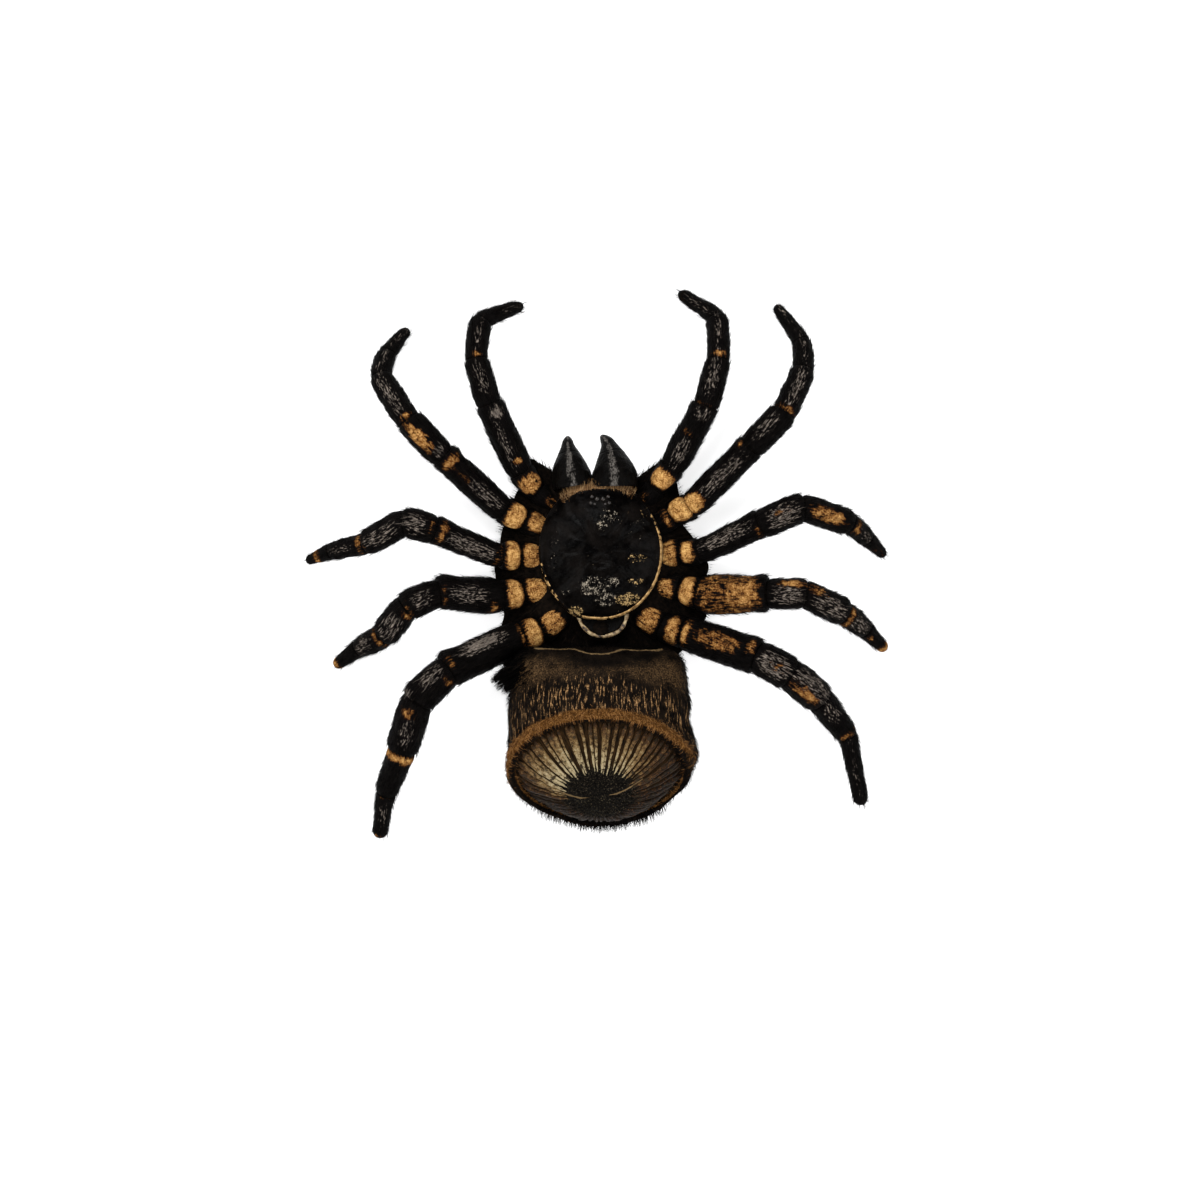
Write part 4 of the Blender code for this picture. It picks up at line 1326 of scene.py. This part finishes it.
# %% Hip skin
HIP_REACH = (  # angle in degrees, and how far the dark skin between the hips reaches, in millimetres
    (-180, 18.2), (-171, 19.5), (-146, 20.7), (-136, 26.5), (-128, 27.5), (-120, 22.0), (-108, 20.0),
    (-90, 18.5), (-70, 20.0), (-58, 22.5), (-51, 23.5), (-40, 21.8), (-32, 22.9), (-22, 19.2), (-8, 19.8),
    (0, 18.0), (8, 16.6), (16, 15.9), (26, 14.8), (38, 18.0), (50, 19.2), (56, 20.4), (62, 15.4), (68, 13.2),
    (90, 12.2), (110, 12.8), (117, 14.8), (122, 17.7), (127, 22.0), (132, 20.0), (136, 17.6), (144, 18.8),
    (155, 17.8), (166, 18.1), (180, 18.2),
)
HIP_SHARES = (0.06, 0.5, 0.8, 0.95, 1.0, 0.96, 0.86, 0.74, 0.56, 0.06)
HIP_HEIGHTS = (2.6, 2.5, 2.4, 2.6, 3.0, 3.5, 4.0, 4.6, 6.0, 6.2)
HIP_SIDES, HIP_ROWS = 240, 64
hip_angle = np.linspace(-180, 180, HIP_SIDES, endpoint=False)
hip_reach = np.interp(hip_angle, *np.array(HIP_REACH).T) * MM
soften = np.hanning(9) / np.hanning(9).sum()
hip_reach = np.convolve(np.tile(hip_reach, 3), soften, "same")[HIP_SIDES:2 * HIP_SIDES]
hip_rows = np.linspace(0, 9, HIP_ROWS)
hip_shares = np.interp(hip_rows, range(10), HIP_SHARES)
hip_heights = np.interp(hip_rows, range(10), HIP_HEIGHTS) * MM
hip = np.stack(np.broadcast_arrays(
    SHIELD_MIDDLE.x + hip_shares[:, None] * hip_reach * np.cos(np.radians(hip_angle)),
    SHIELD_MIDDLE.y + hip_shares[:, None] * hip_reach * np.sin(np.radians(hip_angle)),
    hip_heights[:, None]), axis=-1)
hip = hip + 0.30 * MM * noise_at(hip, 0.45, 8.0)[..., None] * (1, 1, 0.8)
add_piece("hip_skin", mesh_from_rings("hip_skin", hip, {}), joint_skin, "joint_skin")
print("breast plate", len(plate_mesh.vertices), "hip skin", hip.shape)

# %% Hip hair
hip_out = hip - np.array((SHIELD_MIDDLE.x, SHIELD_MIDDLE.y, 0))
hip_out[..., 2] = 0
hip_out /= np.linalg.norm(hip_out, axis=-1)[..., None]
hip_fur = np.broadcast_to(np.where(hip_shares > 0.6, 1.0, 0.0)[:, None], hip.shape[:2])
hip_base = mesh_from_rings("hip_fur_base", hip, {
    "fur": hip_fur, "fur_length": np.ones(hip.shape[:2]), "lay": hip_out,
})
hip_hair = grown_mesh("hip_hair", hip_base, hair_tree, {
    "Density": 5.4 / MM ** 2, "Length": 1.3 * MM, "Width": 0.05 * MM, "Lift": 0.45, "Disorder": 0.5, "Seed": 51,
    "Material": dark_hair,
})
add_piece("hip_hair", hip_hair, None, "joint_skin")
print("hip hair faces", len(hip_hair.polygons))

# %% Waist
pedicel, pedicel_radii = read_tube("pedicel", 10)
places = np.linspace(0, len(pedicel) - 1, 40)
waist = tube_rings(smooth_rows(pedicel, places), smooth_rows(pedicel_radii[:, None], places)[:, 0], 44)
waist += 0.10 * MM * noise_at(waist * (1, 3, 1), 0.8, 4.0)[..., None] * (1, 0, 1)
add_piece("pedicel_skin", mesh_from_rings("pedicel_skin", waist, {}), joint_skin, "joint_skin", "pedicel")
print("waist rings", waist.shape)


# %% Crusted rim and dish of the waist
def make_gilt_finish():
    material, tree, shader = new_finish("gilt_edge", 0.5, specular=0.4)
    grain, fine = pattern(tree, object_place(tree), 1.3, 4.0), pattern(tree, object_place(tree), 4.5, 2.0)
    paint(tree, shader, colors(tree, grain, (0.36, (0.012, 0.007, 0.004)), (0.48, (0.16, 0.10, 0.045)),
                               (0.7, (0.46, 0.36, 0.20))))
    bump(tree, shader, plus(tree, grain, fine), 0.10 * MM)
    return material


gilt_edge = make_gilt_finish()
WAIST_HALF, WAIST_DEPTH = 4.3 * MM, 3.9 * MM
turn = np.radians(np.linspace(-185, 5, 90))
waist_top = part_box("pedicel")[1].z
cup_middle = np.array([SHIELD_MIDDLE.x + 0.35 * MM, shield_low.y + 1.3 * MM, waist_top - 0.3 * MM])
loop = cup_middle + np.stack([WAIST_HALF * np.cos(turn), WAIST_DEPTH * np.sin(turn), 0 * turn], axis=-1)
loop[:, 1] += 0.12 * MM * noise_at(loop, 0.5, 1.0)
loop_radii = 0.36 * MM * (1 + 0.55 * noise_at(loop, 0.8, 7.0))
loop_mesh = mesh_from_rings("waist_rim", tube_rings(loop, loop_radii, 14), {})
add_piece("waist_rim", loop_mesh, gilt_edge, "shield")
dish_low = cup_middle - (0, 0, 0.9 * MM)
dish_heights = np.array([0.0, 0.2, 0.6, 0.9, 0.75, 0.5, 0.4]) * MM + dish_low[2]
dish = puck_rings(dish_low, WAIST_HALF, WAIST_DEPTH, dish_heights, (0.1, 0.8, 0.95, 0.99, 0.85, 0.6, 0.08), 80)
dish_mesh = mesh_from_rings("waist_plate", dish, {"worn": np.zeros(dish.shape[:2])})
add_piece("waist_plate", dish_mesh, black_horn, "shield")
print("waist", len(loop_mesh.vertices))

# %% [markdown]
# ## The abdomen
#
# The frame gives the abdomen as hoops: a sack that ends in a broad rim, and a ribbed disc that
# closes it. Smooth curves through the hoops give a fine surface. On it stand the rim with its
# groove, the fluted back, the hub and the soft dents of a dried skin. Rows are counted in
# hoops from the waist to the hub, and turns in degrees from the top of the back.

# %% Fine surface through the hoops
HOOPS = (  # y and height of the middle, half breadth, half height, lean in degrees
    (-16.4, 7.6, 4.6, 3.4, 0), (-17.6, 8.0, 9.4, 6.8, 2), (-19.6, 8.6, 12.9, 9.1, 6),
    (-22.8, 9.1, 15.2, 10.5, 14), (-26.6, 9.5, 16.1, 11.5, 23), (-31.0, 10.1, 16.3, 12.7, 33),
    (-35.0, 11.4, 16.4, 13.2, 41), (-38.3, 12.4, 16.4, 13.5, 46),
)
DISC_HOOPS = (  # share of the last hoop's size, how far it bulges out and how far it sinks
    (0.96, 0.7, 0.0), (0.88, 0.2, 0.1), (0.78, 1.6, 0.4), (0.62, 3.4, 0.9), (0.42, 4.8, 1.4), (0.20, 5.5, 1.7),
)
SACK_SIDES = 440
RIM_AT = 7.0


def hoop_rows():
    """Every hoop as y, height, half breadth, half height and lean in radians, in metres."""
    rows = [list(hoop) for hoop in HOOPS]
    y, height, breadth, half_height, lean = HOOPS[-1]
    slope = math.radians(lean)
    for share, rise, drop in DISC_HOOPS:
        middle_y = y - rise * math.cos(slope) - drop * math.sin(slope)
        middle_z = height + rise * math.sin(slope) - drop * math.cos(slope)
        rows.append([middle_y, middle_z, breadth * share, half_height * share, lean])
    return np.array(rows) * (MM, MM, MM, MM, math.pi / 180)


sack_low, sack_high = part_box("abdomen")
row_places = np.concatenate([np.linspace(0, 6, 66), np.linspace(6, 9, 58)[1:], np.linspace(9, 13, 48)[1:]])
middle_y, middle_z, breadth, half_height, lean = smooth_rows(hoop_rows(), row_places).T[:, :, None]
sack_angle = 2 * np.pi * np.arange(SACK_SIDES)[None, :] / SACK_SIDES
sack = np.stack(np.broadcast_arrays(
    (sack_low.x + sack_high.x) / 2 + breadth * np.cos(sack_angle),
    middle_y + half_height * np.sin(sack_angle) * np.sin(lean),
    middle_z + half_height * np.sin(sack_angle) * np.cos(lean)), axis=-1)
sack[..., 2] = np.maximum(sack[..., 2], 0.0)
sack_turn = np.broadcast_to(90 - np.degrees(sack_angle), sack.shape[:2])
sack_row = np.broadcast_to(row_places[:, None], sack.shape[:2])
print("hoops", len(hoop_rows()), "surface", sack.shape, "frame", sack_low / MM, sack_high / MM)
print("surface box", sack.reshape(-1, 3).min(axis=0) / MM, sack.reshape(-1, 3).max(axis=0) / MM)


# %% Zones of the abdomen
def grid_normals(grid):
    along = np.gradient(grid, axis=0)
    across = (np.roll(grid, -1, axis=1) - np.roll(grid, 1, axis=1)) / 2
    normals = np.cross(across, along)
    return normals / np.maximum(np.linalg.norm(normals, axis=-1)[..., None], 1e-12)


sack_normals = grid_normals(sack)
print("normal at the back", np.round(sack_normals[70, SACK_SIDES // 4], 2))
upper = np.clip(0.5 + 0.9 * np.cos(np.radians(sack_turn)), 0, 1)
arc = sack_turn / 57.3 * 15.0 * MM
flute_at = np.stack([arc, sack_row * 0.55 * MM, 0 * arc], axis=-1)
flutes = np.abs(noise_at(flute_at, 0.85, 5.0)) + 0.6 * np.abs(noise_at(flute_at, 1.7, 2.0))
flute_zone = np.clip((sack_row - 3.1) / 1.7, 0, 1) * np.clip((7.0 - sack_row) / 0.5, 0, 1) * upper
rim_zone = np.exp(-(np.abs(sack_row - RIM_AT - 0.10) / 0.74) ** 3)
rim_wave = 0.25 * noise_at(np.stack([arc, 0 * arc, 0 * arc], axis=-1), 0.25, 3.0)
rim_ridge = np.exp(-((sack_row - RIM_AT - 0.1 - rim_wave) / 0.42) ** 2)
groove = np.exp(-((sack_row - 8.25 - 0.5 * rim_wave) / 0.24) ** 2)
disc_zone = np.clip((sack_row - 8.6) / 0.5, 0, 1)
hub_zone = np.clip((sack_row - 11.55) / 0.5, 0, 1)
fold_row = 1.15 + 0.40 * np.cos(np.radians(5.6 * sack_turn + 12))
fold = np.exp(-((sack_row - fold_row) / 0.12) ** 2) * (np.abs(sack_turn) < 70)
print("highest flute", round(float(flutes.max()), 2))

# %% Relief of the abdomen
relief = 0.45 * noise_at(sack, 0.10, 1.0) + 0.14 * noise_at(sack, 0.45, 6.0) + 0.05 * noise_at(sack, 1.5, 2.0)
relief += flute_zone * (0.55 * flutes - 0.15) + 0.55 * rim_ridge * (0.35 + 0.65 * upper) - 0.75 * groove * upper
relief += 0.30 * fold + hub_zone * 0.22 * noise_at(sack, 1.6, 8.0)
relief += 1.2 * dent(sack, 16.4, -35.2, 2.6, 2.6) - 0.5 * dent(sack, 16.2, -29.6, 1.8, 1.5)
relief -= 0.5 * dent(sack, 13.0, -43.5, 3.0, 3.0)
relief += 0.5 * dent(sack, 1.0, -48.0, 8.0, 2.0)
side_share = np.abs(np.sin(np.radians(sack_turn)))
relief += 2.1 * np.exp(-((sack_row - 1.9) / 0.95) ** 2) * side_share ** 3
relief -= 0.10 * np.exp(-((sack_row - 6.6) / 1.1) ** 2) * side_share ** 3
resting = sack[..., 2] < 0.4 * MM
relief = np.where(resting, 0.0, relief)
surface = sack + sack_normals * (relief * MM)[..., None]
surface[..., 2] = np.maximum(surface[..., 2], 0.0)
print("relief from", round(float(relief.min()), 2), "to", round(float(relief.max()), 2), "mm")

# %% Masks of the abdomen
gold = rim_zone * np.clip(0.15 + upper - 0.35 * np.clip(np.sin(np.radians(sack_turn)), 0, 1), 0, 1)
lower_gold = np.exp(-((sack_row - 8.55) / 0.20) ** 2) * (1 - upper)
crease = np.exp(-((surface[..., 1] / MM + 43.7 - 0.042 * (surface[..., 0] / MM + 2) ** 2) / 0.22) ** 2)
crease *= (np.abs(surface[..., 0] / MM + 1.5) < 8.8) * (sack_row > 9.6)
gold = np.maximum(gold, lower_gold)
fold = np.maximum(fold, 0.85 * crease)
brown = np.clip(1 - np.abs(sack_row - 3.1) / 2.3, 0, 1) * upper * (0.45 + 0.55 * side_share)
sack_masks = {
    "gold": gold, "brown": brown, "flutes": flute_zone * flutes, "disc": disc_zone, "hub": hub_zone, "fold": fold,
}
uv_turn = np.linspace(90, -270, SACK_SIDES + 1)[None, :] / 57.3 * 15.0 * MM
sack_uv = np.stack(np.broadcast_arrays(row_places[:, None] * 3.3 * MM, uv_turn), axis=-1)
sack_mesh = mesh_from_rings("abdomen_skin", surface, sack_masks, sack_uv)
print("abdomen corners", len(sack_mesh.vertices))


# %% Abdomen finish
def make_abdomen_finish():
    material, tree, shader = new_finish("abdomen_skin", 0.68, specular=0.02)
    blotch, grain, fine = (pattern(tree, object_place(tree), scale, 4.0) for scale in (0.30, 1.3, 4.0))
    streaks = pattern(tree, skin_map(tree), 1.0, 4.0, (0.40, 3.4, 1.0), 0.62)
    torn = less(tree, weighed(tree, (blotch, 0.8), (fine, 0.6)), 0.70)
    brown = band(tree, plus(tree, attribute(tree, "brown"), torn), 0.35, 0.95)
    lines = times(tree, attribute(tree, "flutes"), band(tree, streaks, 0.48, 0.66))
    gold = band(tree, plus(tree, attribute(tree, "gold"), times(tree, torn, 0.8)), 0.40, 0.75)
    edge = band(tree, plus(tree, attribute(tree, "fold"), less(tree, grain, 0.5)), 0.45, 0.7)
    color = colors(tree, blotch, (0.3, (0.0012, 0.0009, 0.0007)), (0.75, (0.009, 0.006, 0.004)))
    for share, source, stops in (
        (brown, fine, ((0.36, (0.006, 0.003, 0.0015)), (0.66, (0.085, 0.050, 0.023)))),
        (band(tree, lines, 0.05, 0.26), fine, ((0.36, (0.034, 0.018, 0.007)), (0.66, (0.36, 0.205, 0.090)))),
        (attribute(tree, "disc"), streaks, ((0.38, (0.002, 0.0015, 0.001)), (0.7, (0.030, 0.015, 0.005)))),
        (attribute(tree, "hub"), fine, ((0.44, (0.0008, 0.0006, 0.0005)), (0.60, (0.008, 0.0065, 0.0045)),
                                        (0.72, (0.10, 0.08, 0.05)))),
        (gold, fine, ((0.32, (0.022, 0.008, 0.002)), (0.50, (0.080, 0.034, 0.008)), (0.68, (0.20, 0.098, 0.032)))),
    ):
        color = mix(tree, share, color, colors(tree, source, *stops))
    paint(tree, shader, mix(tree, edge, color, (0.13, 0.085, 0.040)))
    bump(tree, shader, plus(tree, grain, plus(tree, streaks, fine)), 0.16 * MM)
    return material


add_piece("abdomen_skin", sack_mesh, make_abdomen_finish(), "abdomen", "abdomen")
print("abdomen in place")

# %% [markdown]
# ## Ribs of the disc
#
# The disc is pleated into dozens of ribs that run from the groove to the hub. Each is a thin
# cord that follows the surface and tapers inwards, so a node tree sweeps a round section
# along a bundle of edge paths and roughens it. Every path point carries its own thickness and
# how pale it is. The paleness is partly the ribs' own, growing towards the hub, and partly
# painted light: upper ribs are painted lit, lower ones fade to dark, and painted shade darkens
# the right-hand side.

# %% Paths of the ribs
RIBS = 66
RIB_POINTS = 26
RIB_WIDTH, RIB_ROUGHNESS = 1.05 * MM, 0.45 * MM
rib_seed = np.random.default_rng(7)


def surface_point(row, turn):
    """A place on the finished abdomen from a hoop number and a column share 0 to 1."""
    row_index = np.interp(row, row_places, np.arange(len(row_places)))
    column = (turn % 1.0) * SACK_SIDES
    low_row, low_column = int(row_index), int(column) % SACK_SIDES
    high_row = min(low_row + 1, len(surface) - 1)
    high_column = (low_column + 1) % SACK_SIDES
    down, across = row_index - int(row_index), column - int(column)
    near = surface[low_row, low_column] * (1 - across) + surface[low_row, high_column] * across
    far = surface[high_row, low_column] * (1 - across) + surface[high_row, high_column] * across
    return near * (1 - down) + far * down


rib_points, rib_edges, rib_girth, rib_pale_and_lit = [], [], [], []
for rib in range(RIBS):
    turn_share = (rib + rib_seed.uniform(-0.28, 0.28)) / RIBS
    degrees = 90 - 360 * turn_share
    start, end = rib_seed.uniform(8.75, 9.1), rib_seed.uniform(11.9, 12.35)
    wander = rib_seed.uniform(-0.35, 0.35)
    thick = rib_seed.uniform(0.6, 1.3)
    from_top = abs((degrees + 180) % 360 - 180)
    # Painted light and shade: ribs on the upper disc are painted lit, ribs towards its underside fade to dark, and
    # the right-hand side is painted in shade.
    shaded_side = 0.85 * np.clip(np.sin(np.radians(degrees)), 0, 1) ** 2
    lit = 1.1 * np.clip((118 - from_top) / 40, 0, 1) * (1 - shaded_side)
    for point in range(RIB_POINTS):
        share = point / (RIB_POINTS - 1)
        row = start + (end - start) * share
        place = surface_point(row, turn_share + wander * 0.010 * np.sin(3.1 * share))
        if point:
            rib_edges.append((len(rib_points) - 1, len(rib_points)))
        rib_points.append(place)
        rib_girth.append(thick * (1.0 - 0.62 * share) * min(1.0, 0.35 + 4 * share, 0.3 + 5 * (1 - share)))
        rib_pale_and_lit.append(lit * (0.14 + 0.86 * share ** 1.2))
rib_base = bpy.data.meshes.new("rib_paths")
rib_base.from_pydata([tuple(point) for point in rib_points], rib_edges, [])
set_values(rib_base, "girth", rib_girth)
set_values(rib_base, "pale", rib_pale_and_lit)
print("rib path points", len(rib_points))


# %% Rib tree
def make_rib_tree():
    tree, given, result = new_tree("disc_ribs", (
        ("Rib Width", "Float", 1.0), ("Roughness", "Float", 0.0), ("Sides", "Int", 8), ("Material", "Material", None),
    ))
    curves = add(tree, "GeometryNodeMeshToCurve", {"Mesh": given["Geometry"]})
    radius = times(tree, named(tree, "girth"), times(tree, given["Rib Width"], 0.5))
    ring = add(tree, "GeometryNodeCurvePrimitiveCircle", {"Resolution": given["Sides"], "Radius": 1.0})
    swept = add(tree, "GeometryNodeCurveToMesh", {
        "Curve": curves.outputs[0], "Profile Curve": ring.outputs[0], "Scale": radius, "Fill Caps": True,
    })
    lumps = add(tree, "ShaderNodeTexNoise", {
        "Vector": add(tree, "GeometryNodeInputPosition").outputs[0], "Scale": 0.8 / MM, "Detail": 3.0,
    })
    away = vector_node(tree, "SUBTRACT", lumps.outputs["Color"], (0.5, 0.5, 0.5))
    rough = add(tree, "GeometryNodeSetPosition", {
        "Geometry": swept.outputs[0], "Offset": vector_node(tree, "SCALE", away, scale=given["Roughness"]),
    })
    finish_tree(tree, rough.outputs[0], given["Material"], result)
    return tree


# %% Rib finish
def make_rib_finish():
    material, tree, shader = new_finish("straw_ribs", 0.6, specular=0.08)
    grain, fine = pattern(tree, object_place(tree), 1.2, 4.0), pattern(tree, object_place(tree), 4.5, 3.0)
    torn = less(tree, weighed(tree, (grain, 0.8), (fine, 0.7)), 0.75)
    # The pale attribute carries the ribs' own paleness together with painted light and painted shade.
    pale = plus(tree, attribute(tree, "pale"), times(tree, torn, 1.5))
    color = colors(tree, pale, (0.05, (0.003, 0.0015, 0.0008)), (0.28, (0.040, 0.017, 0.005)),
                   (0.58, (0.130, 0.080, 0.031)), (1.0, (0.29, 0.235, 0.135)))
    slits = band(tree, plus(tree, grain, times(tree, fine, 0.5)), 0.62, 0.72)
    paint(tree, shader, mix(tree, slits, (0.02, 0.013, 0.006), color))
    bump(tree, shader, plus(tree, grain, fine), 0.12 * MM)
    return material


rib_mesh = grown_mesh("disc_ribs", rib_base, make_rib_tree(), {
    "Rib Width": RIB_WIDTH, "Roughness": RIB_ROUGHNESS, "Sides": 8, "Material": make_rib_finish(),
})
rib_mesh.shade_smooth()
add_piece("disc_ribs", rib_mesh, None, "abdomen")
print("rib faces", len(rib_mesh.polygons))

# %% [markdown]
# ## Fur of the abdomen
#
# The sack carries short dark fur that lies backwards, and the rim a dense golden fringe.

# %% Where the fur stands
back_lay = np.gradient(surface, axis=0)
back_lay /= np.maximum(np.linalg.norm(back_lay, axis=-1)[..., None], 1e-12)
sides_only = np.clip(1.25 - upper, 0.25, 1)
front_tuft = dent(surface, -17.0, -20.8, 3.0, 2.4)
back_lay = back_lay + front_tuft[..., None] * (-2.4, 0.2, 0.0)
low_edge = np.exp(-((surface[..., 1] + 48 * MM) / (3.5 * MM)) ** 2)
dark_fur = (1 - disc_zone) * (1 - 0.8 * gold) * sides_only * (1 + 1.5 * low_edge) + 2.6 * front_tuft
dark_fur = np.where(resting, 0.0, dark_fur)
dark_length = 1 + 2.6 * front_tuft + 0.25 * noise_at(surface, 0.3, 9.0) + 0.5 * low_edge
print("longest fur", round(float(dark_length.max()), 2), "times the usual")

# %% Fur and fringe
fur_base = mesh_from_rings("fur_base", surface, {"fur": dark_fur, "fur_length": dark_length, "lay": back_lay})
fur_mesh = grown_mesh("abdomen_fur", fur_base, hair_tree, {
    "Density": 5.8 / MM ** 2, "Length": 1.15 * MM, "Width": 0.045 * MM, "Lift": 0.7, "Disorder": 0.5, "Seed": 61,
    "Material": dark_hair,
})
add_piece("abdomen_fur", fur_mesh, None, "abdomen")
fringe_base = mesh_from_rings("fringe_base", surface, {
    "fur": np.clip(gold * 1.2, 0, 1), "fur_length": 0.7 + 0.5 * gold, "lay": back_lay,
})
rim_mesh = grown_mesh("rim_fringe", fringe_base, hair_tree, {
    "Density": 8.0 / MM ** 2, "Length": 0.85 * MM, "Width": 0.05 * MM, "Lift": 0.9, "Disorder": 0.8, "Seed": 62,
    "Material": make_hair_finish("amber_hair", (0.060, 0.024, 0.006), (0.24, 0.115, 0.040), 0.45),
})
add_piece("rim_fringe", rim_mesh, None, "abdomen")
print("fur faces", len(fur_mesh.polygons), "fringe faces", len(rim_mesh.polygons))

# %% Spinnerets
for side in ("left", "right"):
    node = f"spinneret_{side}"
    points, radii = read_tube(node, LIMB_SIDES)
    places = np.linspace(0, len(points) - 1, 30)
    rings = tube_rings(smooth_rows(points, places), smooth_rows(radii[:, None], places)[:, 0], 32)
    rings += 0.08 * MM * noise_at(rings * (1, 2.5, 1), 1.0, 3.0)[..., None] * (1, 0, 1)
    rings[..., 2] = np.maximum(rings[..., 2], 0)
    add_piece(f"{node}_skin", mesh_from_rings(f"{node}_skin", rings, {}), joint_skin, "joint_skin", node)
print("spinnerets 2")
